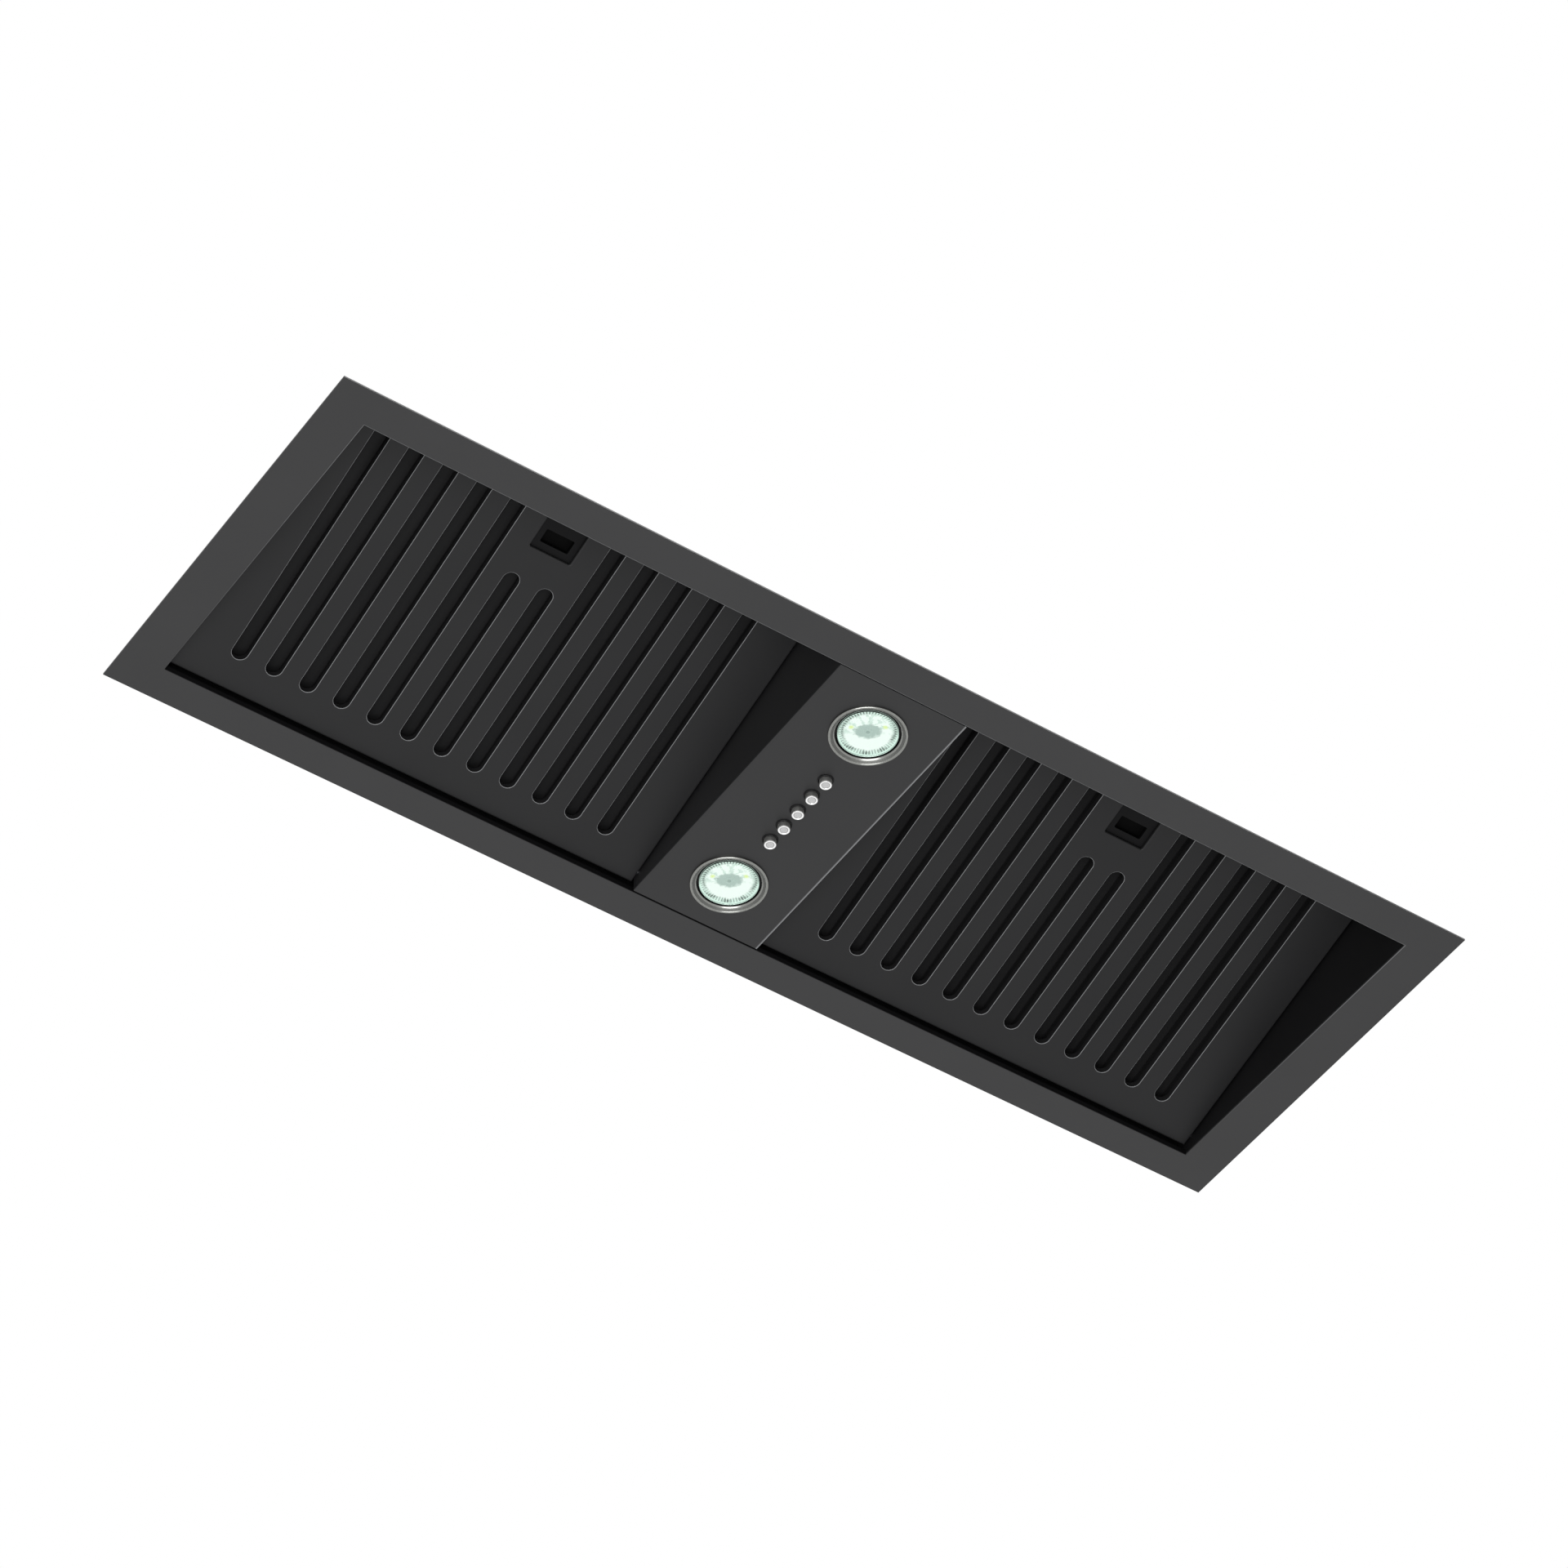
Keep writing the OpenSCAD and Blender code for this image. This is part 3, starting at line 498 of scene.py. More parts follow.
@dataclass(frozen=True)
class Finish:
    """A material named for its process; subclasses say what goes into the principled shader's sockets."""

    name: str

    def inputs(self, tree: Tree, place: Socket) -> dict[str, Any]:
        """Adds the finish's patterns to a node tree.

        Args:
            tree: The material's node tree.
            place: The Object coordinates.

        Returns:
            What goes into each of the principled shader's sockets.
        """
        raise NotImplementedError

    def material(self) -> bpy.types.Material:
        """The finish's material, made the first time it is asked for.

        Returns:
            The material.
        """
        known = bpy.data.materials.get(self.name)
        if known:
            return known
        made = new_material(self.name)
        tree = made.node_tree
        feed(tree.nodes["Principled BSDF"], self.inputs(tree, add_node(tree, "TexCoord")["Object"]))
        return made


@dataclass(frozen=True)
class BakedLacquer(Finish):
    """Steel sheet with a sprayed and baked satin black lacquer.

    The eye gets a dark grey with a soft sheen, a faint pebble left by the spray, a slight unevenness where
    the film is thicker, and fine pale outlines painted on the turned edges as a highlight. Uneven is how far
    the roughness strays either way.
    """

    body: str = "#2a2a2b"
    shade: str = "#282829"
    # painted highlight: the pale tone laid on turned edges
    edge: str = "#6c6d6f"
    roughness: float = 0.42
    uneven: float = 0.01
    sheen: float = 0.46
    cloud: float = 60 * MM
    pebble: float = 1.6 * MM
    height: float = 0.2 * MM
    strength: float = 0.02

    def inputs(self, tree: Tree, place: Socket) -> dict[str, Any]:
        """Mixes two near greys by a broad noise, lays the painted edge highlight, and bumps the film.

        Args:
            tree: The material's node tree.
            place: The Object coordinates.

        Returns:
            What goes into each of the principled shader's sockets.
        """
        cloud = add_node(tree, "TexNoise", {"Vector": place, "Scale": 1 / self.cloud, "Detail": 3.0})["Fac"]
        fine = add_node(tree, "TexNoise", {"Vector": place, "Scale": 1 / self.pebble, "Detail": 2.0})["Fac"]
        film = add_node(tree, "ValToRGB", {"Fac": cloud}, [(0.35, self.shade), (0.65, self.body)])["Color"]
        # painted highlight: the pale edge tone where the mesh marks it
        edge_glint = add_node(tree, "Attribute", attribute_name=EDGE_HIGHLIGHT)["Fac"]
        tone = add_node(tree, "MixRGB", {"Fac": edge_glint, "Color1": film, "Color2": srgb(self.edge)})["Color"]
        rough = add_node(tree, "MapRange", {"Value": cloud, "To Min": self.roughness - self.uneven,
                                            "To Max": self.roughness + self.uneven})["Result"]
        bump = add_node(tree, "Bump", {"Height": fine, "Strength": self.strength, "Distance": self.height})
        return {"Base Color": tone, "Roughness": rough, "Specular IOR Level": self.sheen,
                "Normal": bump["Normal"]}


@dataclass(frozen=True)
class GalvanisedSheet(Finish):
    """Hot-dip galvanised steel: blue-grey metal with dull crystal patches a few millimetres across."""

    spangle: float = 7 * MM
    dull: str = "#8d9296"
    bright: str = "#b3b8bb"
    smoothest: float = 0.32
    roughest: float = 0.5

    def inputs(self, tree: Tree, place: Socket) -> dict[str, Any]:
        """Gives each crystal cell its own grey and roughness.

        Args:
            tree: The material's node tree.
            place: The Object coordinates.

        Returns:
            What goes into each of the principled shader's sockets.
        """
        cells = add_node(tree, "TexVoronoi", {"Vector": place, "Scale": 1 / self.spangle})["Color"]
        grey = add_node(tree, "SeparateColor", {"Color": cells})["Red"]
        tone = add_node(tree, "ValToRGB", {"Fac": grey}, [(0.0, self.dull), (1.0, self.bright)])["Color"]
        rough = add_node(tree, "MapRange", {"Value": grey, "To Min": self.smoothest,
                                            "To Max": self.roughest})["Result"]
        return {"Base Color": tone, "Roughness": rough, "Metallic": 1.0}


@dataclass(frozen=True)
class PlatedMetal(Finish):
    """Nickel or zinc plate on turned or pressed metal, or bare castings: bright, with a faint grain.

    The real grain is finer than a tenth of a millimetre; it is drawn coarser, so that it shows. Uneven is
    how far the roughness strays either way, as a share of it.
    """

    colour: str
    # the darker tone of the grain, laid at random, not a highlight
    wear_and_highlight: str
    roughness: float
    uneven: float = 0.3
    grain: float = 0.5 * MM

    def inputs(self, tree: Tree, place: Socket) -> dict[str, Any]:
        """Varies the metal's brightness and roughness by a fine noise.

        Args:
            tree: The material's node tree.
            place: The Object coordinates.

        Returns:
            What goes into each of the principled shader's sockets.
        """
        noise = add_node(tree, "TexNoise", {"Vector": place, "Scale": 1 / self.grain, "Detail": 4.0})["Fac"]
        tone = add_node(tree, "ValToRGB", {"Fac": noise}, [(0.3, self.wear_and_highlight), (0.7, self.colour)])["Color"]
        rough = add_node(tree, "MapRange", {"Value": noise, "To Min": self.roughness * (1 - self.uneven),
                                            "To Max": self.roughness * (1 + self.uneven)})["Result"]
        return {"Base Color": tone, "Roughness": rough, "Metallic": 1.0}


@dataclass(frozen=True)
class MouldedPolymer(Finish):
    """Injection-moulded nylon or rubber from a spark-eroded mould: dull, with a fine even grain.

    The real grain is about a tenth of a millimetre; it is drawn coarser, so that it shows. Uneven is how
    far the roughness strays either way.
    """

    colour: str = "#0e0e0f"
    light: str = "#141415"
    roughness: float = 0.5
    uneven: float = 0.05
    sheen: float = 0.25
    grain: float = 0.4 * MM
    height: float = 0.05 * MM
    strength: float = 0.25

    def inputs(self, tree: Tree, place: Socket) -> dict[str, Any]:
        """Bumps and tints the surface with the mould's grain.

        Args:
            tree: The material's node tree.
            place: The Object coordinates.

        Returns:
            What goes into each of the principled shader's sockets.
        """
        noise = add_node(tree, "TexNoise", {"Vector": place, "Scale": 1 / self.grain, "Detail": 2.0})["Fac"]
        tone = add_node(tree, "ValToRGB", {"Fac": noise}, [(0.4, self.colour), (0.6, self.light)])["Color"]
        rough = add_node(tree, "MapRange", {"Value": noise, "To Min": self.roughness - self.uneven,
                                            "To Max": self.roughness + self.uneven})["Result"]
        bump = add_node(tree, "Bump", {"Height": noise, "Strength": self.strength, "Distance": self.height})
        return {"Base Color": tone, "Roughness": rough, "Specular IOR Level": self.sheen,
                "Normal": bump["Normal"]}


@dataclass(frozen=True)
class LampLens(Finish):
    """Pressed borosilicate glass: clear, faintly green, with a slightly mottled face."""

    tint: str = "#eef6f1"
    index: float = 1.47
    smoothest: float = 0.02
    roughest: float = 0.12
    mottle: float = 0.8 * MM

    def inputs(self, tree: Tree, place: Socket) -> dict[str, Any]:
        """Sets clear glass with a mottled roughness.

        Args:
            tree: The material's node tree.
            place: The Object coordinates.

        Returns:
            What goes into each of the principled shader's sockets.
        """
        noise = add_node(tree, "TexNoise", {"Vector": place, "Scale": 1 / self.mottle})["Fac"]
        rough = add_node(tree, "MapRange", {"Value": noise, "To Min": self.smoothest,
                                            "To Max": self.roughest})["Result"]
        return {"Base Color": srgb(self.tint), "Roughness": rough, "Transmission Weight": 1.0,
                "IOR": self.index}


@dataclass(frozen=True)
class LitReflector(Finish):
    """Metallised reflector round lit diodes: a mint-white glow in lumps, a grey middle and a ticked rim.

    The rings follow the distance from the lamp's axis, which stands at y along the strip, as shares of the
    radius. The lumps and the ticks follow the angle round it, each as a wave that is full from its top on.
    The grey oblong board is turned by some degrees. Two diodes glow a warmer yellow-green. A shake is how
    far the noise moves the lumps or an edge. A fade is where a layer comes in or goes out, in shares too.
    """

    y: float
    radius: float = 19.6 * MM
    turn: float = 33.9
    board: Pair = (10.0 * MM, 6.6 * MM)
    board_fade: Pair = (0.75, 0.98)
    board_shake: float = 0.45
    ring_fade: tuple[float, ...] = (0.015, 0.03, 0.045, 0.065)
    lumps: int = 11
    lump_top: float = -0.1
    lump_shake: float = 0.5
    ticks: int = 56
    tick_top: float = 0.6
    tick_fade: Pair = (0.76, 0.84)
    tick_shake: float = 0.08
    rim_fade: Pair = (0.93, 0.95)
    cloud: float = 3.5 * MM
    solid_from: float = -1 * MM
    solid_to: float = 3 * MM
    diode_core: float = 0.6 * MM
    diode_reach: float = 2.2 * MM
    diodes: tuple[Pair, ...] = ((-11.0 * MM, 2.8 * MM), (7.2 * MM, -9.3 * MM))
    bright: str = "#f8fffc"
    dim: str = "#cfe3da"
    board_grey: str = "#a9bcb6"
    ring_grey: str = "#7c908a"
    tick_light: str = "#dcefe7"
    tick_dark: str = "#40534b"
    rim_light: str = "#d8f0e6"
    rim_grey: str = "#9fb3aa"
    diode_warm: str = "#e6f59a"
    dish: str = "#303532"
    roughness: float = 0.4
    strength: float = 1.05

    def wave(self, tree: Tree, angle: Socket, count: int, top: float) -> Socket:
        """A wave that rises from 0 to 1 a number of times round the axis.

        It is the cosine of count times the angle, stretched so that -1 becomes 0 and the top becomes 1,
        and held at 1 above it.

        Args:
            tree: The material's node tree.
            angle: The angle round the axis.
            count: How many times it rises.
            top: The cosine from which it is 1.

        Returns:
            The wave.
        """
        turns = add_node(tree, "Math", {0: angle, 1: float(count)}, operation="MULTIPLY")["Value"]
        wave = add_node(tree, "Math", {0: turns}, operation="COSINE")["Value"]
        return add_node(tree, "MapRange", {"Value": wave, "From Min": -1.0, "From Max": top})["Result"]

    def shaken(self, tree: Tree, value: Socket, noise: Socket, reach: float) -> Socket:
        """A number moved up or down by the noise.

        Args:
            tree: The material's node tree.
            value: The number.
            noise: A noise from 0 to 1.
            reach: How far it moves the number at most.

        Returns:
            Their sum.
        """
        shift = add_node(tree, "MapRange", {"Value": noise, "To Min": -reach, "To Max": reach})["Result"]
        return add_node(tree, "Math", {0: value, 1: shift}, operation="ADD")["Value"]

    def inputs(self, tree: Tree, place: Socket) -> dict[str, Any]:
        """Glow by radius, lumps and ticks by angle, and the grey oblong board, all broken up by a noise.

        The glow starts as lumps. The board, the middle's ring, the ticks, the rim and the two warm diodes
        are laid over it in that order, each by its own share.

        Args:
            tree: The material's node tree.
            place: The Object coordinates.

        Returns:
            What goes into each of the principled shader's sockets.
        """
        centred = add_node(tree, "Mapping", {"Vector": place, "Location": (0.0, -self.y, 0.0),
                                             "Scale": (1.0, 1.0, 0.0)})["Vector"]
        turned = add_node(tree, "Mapping", {"Vector": centred,
                                            "Rotation": (0.0, 0.0, math.radians(self.turn))})["Vector"]
        noise = add_node(tree, "TexNoise", {"Vector": centred, "Scale": 1 / self.cloud,
                                            "Detail": 3.0})["Fac"]
        axes = add_node(tree, "SeparateXYZ", {0: turned})
        angle = add_node(tree, "Math", {0: axes["Y"], 1: axes["X"]}, operation="ARCTAN2")["Value"]
        reach = add_node(tree, "VectorMath", {0: centred}, operation="LENGTH")["Value"]
        share = add_node(tree, "Math", {0: reach, 1: self.radius}, operation="DIVIDE")["Value"]
        solid = add_node(tree, "MapRange", {"Value": axes["Y"], "From Min": self.solid_from,
                                            "From Max": self.solid_to})["Result"]
        lumpy = self.shaken(tree, angle, noise, self.lump_shake)
        lumps = self.wave(tree, lumpy, self.lumps, self.lump_top)
        lit = add_node(tree, "Math", {0: lumps, 1: solid}, operation="MAXIMUM")["Value"]
        glow = add_node(tree, "MixRGB", {"Fac": lit, "Color1": srgb(self.dim), "Color2": srgb(self.bright)})
        oblong = add_node(tree, "VectorMath", {0: turned, 1: (*self.board, 1.0)}, operation="DIVIDE")
        oblong = add_node(tree, "VectorMath", {0: oblong["Vector"]}, operation="LENGTH")["Value"]
        board = add_node(tree, "ValToRGB", {"Fac": self.shaken(tree, oblong, noise, self.board_shake)},
                         tuple(zip(self.board_fade, FALLING)))["Color"]
        ring = add_node(tree, "ValToRGB", {"Fac": share},
                        tuple(zip(self.ring_fade, RISING + FALLING)))["Color"]
        ticked = add_node(tree, "MixRGB", {"Fac": self.wave(tree, angle, self.ticks, self.tick_top),
                                           "Color1": srgb(self.tick_dark),
                                           "Color2": srgb(self.tick_light)})["Color"]
        ticks = add_node(tree, "ValToRGB", {"Fac": self.shaken(tree, share, noise, self.tick_shake)},
                         tuple(zip(self.tick_fade, RISING)))["Color"]
        lip = add_node(tree, "MixRGB", {"Fac": solid, "Color1": srgb(self.rim_grey),
                                        "Color2": srgb(self.rim_light)})["Color"]
        rim = add_node(tree, "ValToRGB", {"Fac": share}, tuple(zip(self.rim_fade, RISING)))["Color"]
        layers = [(board, srgb(self.board_grey)), (ring, srgb(self.ring_grey)), (ticks, ticked), (rim, lip)]
        for x, y in self.diodes:
            gap = add_node(tree, "VectorMath", {0: centred, 1: (x, y, 0.0)}, operation="DISTANCE")["Value"]
            near = add_node(tree, "MapRange", {"Value": gap, "From Min": self.diode_core,
                                               "From Max": self.diode_reach, "To Min": 1.0, "To Max": 0.0})
            layers.append((near["Result"], srgb(self.diode_warm)))
        for cover, colour in layers:
            glow = add_node(tree, "MixRGB", {"Fac": cover, "Color1": glow["Color"], "Color2": colour})
        return {"Base Color": srgb(self.dish), "Roughness": self.roughness,
                "Emission Color": glow["Color"], "Emission Strength": self.strength}


# The flange, the duct collar and the motor's bracket: dark grey with a soft sheen.
LACQUER = BakedLacquer("satin_black_lacquered_steel")
# The control strip: a tone darker, its right fold a painted pale highlight line.
STRIP_LACQUER = BakedLacquer("satin_black_lacquered_strip", body="#252526", shade="#232324", edge="#8d8e90",
                             sheen=0.4)
# The filters' faces: duller, with painted pale highlight outlines round the slots.
FILTER_LACQUER = BakedLacquer("matt_black_lacquered_filter", body="#222223", shade="#202021", edge="#8d8e90",
                              roughness=0.52, sheen=0.27)
# The case, its rails and the lamps' grooves: the black lacquer darkened as painted shade, keeping slots
# dark.
SHADED_INNER_LACQUER = BakedLacquer("matt_black_lacquered_inner_steel", body="#151516", shade="#131314",
                             roughness=0.5, sheen=0.25)
# The filters' inner channels: a dull dark grey behind the slots.
ENAMEL = BakedLacquer("dull_black_enamelled_baffle", body="#1c1c1d", shade="#19191a", roughness=0.7,
                      sheen=0.3)
# The latch plates and the neck: near black, hardly a highlight; painted shade in recesses and at the rear
# gap.
BLACK_OXIDE_AND_SHADE = BakedLacquer("black_oxide_steel_latch", body="#0f0f10", shade="#0d0d0e", edge="#303031",
                           roughness=0.55, sheen=0.12)
# The blower and its wheel, the covers, the junction box and the flaps: spangled grey.
GALVANISED = GalvanisedSheet("galvanised_steel_sheet")
# The lamps' trim rings: a grey mirror with bright peaks along the bezel.
NICKEL = PlatedMetal("nickel_plated_trim", colour="#999a97", wear_and_highlight="#7f807c", roughness=0.22)
# The rings' inner flanks: softer than the bezel, and darker as painted shade for the dark they mirror.
SHADED_FLANK_NICKEL = PlatedMetal("satin_nickel_flank_painted_shade", colour="#747573", wear_and_highlight="#5d5e5b", roughness=0.45)
# The buttons' sides and shoulders: a soft grey copy of the heads' nickel, darker as painted shade for the
# hole they mirror.
SHADED_SHAFT_NICKEL = PlatedMetal("satin_nickel_shaft_painted_shade", colour="#b4b4b2", wear_and_highlight="#a0a09e", roughness=0.55)
# The buttons' heads: nearly white, since they mirror the pale surroundings.
BUTTON_METAL = PlatedMetal("polished_nickel_button", colour="#fcfcfc", wear_and_highlight="#f4f4f4", roughness=0.12)
# The discs in the heads: a touch greyer and softer.
BUTTON_INSET = PlatedMetal("satin_nickel_button_inset", colour="#cfcfcf", wear_and_highlight="#c6c6c6", roughness=0.3)
# Studs, pins, screws, springs, clips, the shaft and the cans: a cool bright grey.
ZINC = PlatedMetal("bright_zinc_plated_steel", colour="#b9bdc0", wear_and_highlight="#9da1a4", roughness=0.3)
# The lamps' finned bodies: the coarser, duller skin of a casting.
ALUMINIUM = PlatedMetal("die_cast_aluminium", colour="#a9abac", wear_and_highlight="#909293", roughness=0.42,
                        grain=1.2 * MM)
# The switch block, the buttons' collars, the gland, the lamps' driver and the wiring: plain black.
POLYMER = MouldedPolymer("black_moulded_nylon")
# The latch guides: the deepest black, a darker copy of the nylon as painted shade behind the finger holes.
GUIDE_POLYMER_SHADED = MouldedPolymer("matt_black_moulded_guide", colour="#060606", light="#080808", roughness=0.7,
                               sheen=0.05)
# The motor's bushes and the collar's gasket: a greyer, fully matt black.
RUBBER = MouldedPolymer("black_moulded_rubber", colour="#151515", light="#1b1b1b", roughness=0.75,
                        grain=0.8 * MM)
# The lamps' glasses: clear, so that the lit reflectors show through the flutes.
LENS = LampLens("pressed_lamp_glass")


# Objects


def new_mesh(name: str, surface: Surface, paint: bpy.types.Material) -> bpy.types.Mesh:
    """Makes a mesh from a surface's points and faces, with one material.

    Args:
        name: Its name.
        surface: Its points and faces.
        paint: Its material.

    Returns:
        The mesh.
    """
    mesh = bpy.data.meshes.new(name)
    mesh.from_pydata(surface.points.tolist(), [], surface.faces)
    mesh.materials.append(paint)
    return mesh


def close_up(mesh: bpy.types.Mesh, outwards: bool) -> None:
    """Merges points that share a place, and turns a closed shell's faces outwards.

    Args:
        mesh: The mesh.
        outwards: Whether it is a closed shell.
    """
    work = bmesh.new()
    work.from_mesh(mesh)
    bmesh.ops.remove_doubles(work, verts=work.verts, dist=SAME_PLACE)
    bmesh.ops.dissolve_degenerate(work, edges=work.edges, dist=TINY)
    if outwards:
        bmesh.ops.recalc_face_normals(work, faces=work.faces)
    work.to_mesh(mesh)
    work.free()


def sharpen(mesh: bpy.types.Mesh) -> None:
    """Shades a mesh smooth but for its folds and its open edges, which belong to one face only.

    Args:
        mesh: The mesh.
    """
    mesh.shade_smooth()
    mesh.set_sharp_from_angle(angle=math.radians(SMOOTH_BELOW))
    uses = np.zeros(len(mesh.loops), dtype=np.int32)
    mesh.loops.foreach_get("edge_index", uses)
    sharp = np.zeros(len(mesh.edges), dtype=bool)
    mesh.attributes["sharp_edge"].data.foreach_get("value", sharp)
    sharp |= np.bincount(uses, minlength=len(sharp)) == 1
    mesh.attributes["sharp_edge"].data.foreach_set("value", sharp)


def linked(name: str, data: bpy.types.ID) -> bpy.types.Object:
    """Makes an object and links it to the scene.

    Args:
        name: Its name.
        data: Its mesh, camera or lamp.

    Returns:
        The object.
    """
    made = bpy.data.objects.new(name, data)
    bpy.context.scene.collection.objects.link(made)
    return made


def make_piece(name: str, surface: Surface, finish: Finish, body: str, nodes: Iterable[str] = (),
               sheet: float = 0.0) -> bpy.types.Object:
    """Makes a piece of the hood from a surface.

    Args:
        name: The piece's name.
        surface: Its points and faces, in the hood's frame.
        finish: The material that it gets.
        body: The body that it moves with.
        nodes: The nodes that it stands for.
        sheet: Thickness given to an open sheet, away from the side that its faces look to; 0 for a solid.

    Returns:
        The object.
    """
    mesh = new_mesh(name, surface, finish.material())
    # painted highlight: each point's share of the pale edge tone goes to the mesh
    mesh.attributes.new(EDGE_HIGHLIGHT, "FLOAT", "POINT").data.foreach_set("value", surface.highlight_share.astype(np.float32))
    close_up(mesh, outwards=not sheet)
    sharpen(mesh)
    piece = linked(name, mesh)
    if sheet:
        solid = piece.modifiers.new("sheet", "SOLIDIFY")
        solid.thickness = sheet
        solid.offset = -1.0
        solid.use_even_offset = True
    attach(piece, body)
    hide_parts(*nodes)
    log.info("%s on %s, for %s", name, body, ", ".join(nodes) or "no node")
    return piece


@dataclass(frozen=True)
class FlangeFrame:
    """The flange, a flat frame with a rounded inner edge, and the neck that it is welded round."""

    half_x: float = 400 * MM
    half_y: float = 121 * MM
    margin_x: float = 30 * MM
    margin_y: float = 26 * MM
    thickness: float = 1.5 * MM
    edge: float = 0.3 * MM
    flat: float = 0.3 * MM
    bend: float = 0.7 * MM
    wall: float = 1 * MM
    neck_rear: float = 131 * MM
    neck_height: float = 22 * MM
    lip: float = 2.5 * MM
    # the lip stops this short of the flange's face, so its near black covers the rear edge as painted shade
    cover: float = 0.1 * MM

    def plate(self) -> Surface:
        """The ring: outer edge, bottom face, rounded inner edge, top face; painted highlight on the front
        bend.

        Its section, carried round the opening, goes from the outer edge's top by the bottom to the inner
        edge's top.

        Returns:
            The closed surface.
        """
        e, mx, my, low = self.edge, self.margin_x, self.margin_y, -self.thickness
        inner = self.bend + self.flat
        outer = [(mx, my, 0.0), (mx, my, low + e), (mx - e, my - e, low), (inner, inner, low)]
        roll = [(r, r, z) for r, z in arc((self.bend, self.bend + low), self.bend, -90, -180, BEND_STEPS)]
        profile = outer + roll + [(0.0, 0.0, 0.0)]
        ring = framed((-self.half_x, -self.half_y), (self.half_x, self.half_y), profile, closed=True)
        first = len(outer) + 1
        # painted highlight: only the front half of the inner bend gets the pale edge tone
        bent = rows_marked(range(first, first + BEND_STEPS // 2), len(profile), 4)
        return ring.highlighted_where(bent & (ring.points[:, 1] < 0))

    def neck(self) -> Surface:
        """The walls that stand at the front and the ends, and the lip of the grease channel at the back.

        Each is a box. The lip reaches down over the flange's edge at the back, painting shade there in near
        black.

        Returns:
            Four closed boxes as one surface.
        """
        x, w, rear, top = self.half_x + self.wall, self.wall, self.neck_rear, self.neck_height
        front = -self.half_y - w
        walls = [solid_box((-x - w, front - w, 0.0), (x + w, front, top)),
                 solid_box((-x - w, front, 0.0), (-x, rear, top)),
                 solid_box((x, front, 0.0), (x + w, rear, top))]
        lip = solid_box((-self.half_x, self.half_y - self.cover, self.cover - self.thickness),
                        (self.half_x, self.half_y + w, self.lip))
        return joined(*walls, lip)

    def build(self) -> None:
        """Makes the flange and its neck."""
        make_piece("flange", self.plate(), LACQUER, "case", ["flange_frame"])
        # painted shade: the neck's near-black finish darkens the walls and the rear lip
        make_piece("neck", self.neck(), BLACK_OXIDE_AND_SHADE, "case", ["neck_frame"])


@dataclass(frozen=True)
class ControlStrip:
    """The folded tray between the filters, with its lamp and button holes."""

    half_x: float = 48.5 * MM
    front: float = -120.6 * MM
    rear: float = 119.8 * MM
    high: float = 78 * MM
    sheet: float = 1 * MM
    bend: float = 0.7 * MM
    margin: float = 1 * MM
    lamp_hole: float = 22.1 * MM
    button_hole: float = 5.1 * MM
    hole_bend: float = 0.4 * MM
    hole_edge: float = 0.6 * MM
    fold_steps: int = 8
    pale_points: int = 5

    def holes(self) -> list[Hole]:
        """The two lamp holes and the five button holes, pressed slightly inwards."""
        spots = [(row.y, self.lamp_hole) for row in Row] + [(key.y, self.button_hole) for key in Key]
        return [Hole(0.0, y, 2 * r, 2 * r, self.hole_bend, self.hole_edge, r, wear_and_highlight=False) for y, r in spots]

    def surface(self) -> Surface:
        """Its lower face with the holes' rims, and the two folded side walls, a highlight painted on the
        right fold.

        A side's section runs along the face's margin, round the fold and up the wall, and is swept along Y.
        The right fold's pale highlight is painted on its first points, its lower half.

        Returns:
            The open sheet.
        """
        low, flat = STRIP_FACE_Z, self.half_x - self.bend - self.margin
        holes = self.holes()
        face = pierced(rectangle((-flat, self.front), (flat, self.rear)), [h.edge() for h in holes], low)
        middle = (self.half_x - self.bend, low + self.bend)
        fold = [(flat, low)] + arc(middle, self.bend, -90, 0, self.fold_steps)
        side = swept_y(fold + [(self.half_x, self.high)], self.front, self.rear)
        # painted highlight: the pale edge tone goes on the right fold only
        pale = rows_marked(range(1, 1 + self.pale_points), len(fold) + 1, 1)
        wear_and_highlight = side.highlighted_where(np.tile(pale, 2))
        return joined(face, wear_and_highlight, side.mirrored_x(), *(h.rim(low) for h in holes))

    def build(self) -> None:
        """Makes the tray."""
        make_piece("control_strip", self.surface(), STRIP_LACQUER, "case",
                   ["control_panel"], sheet=self.sheet)


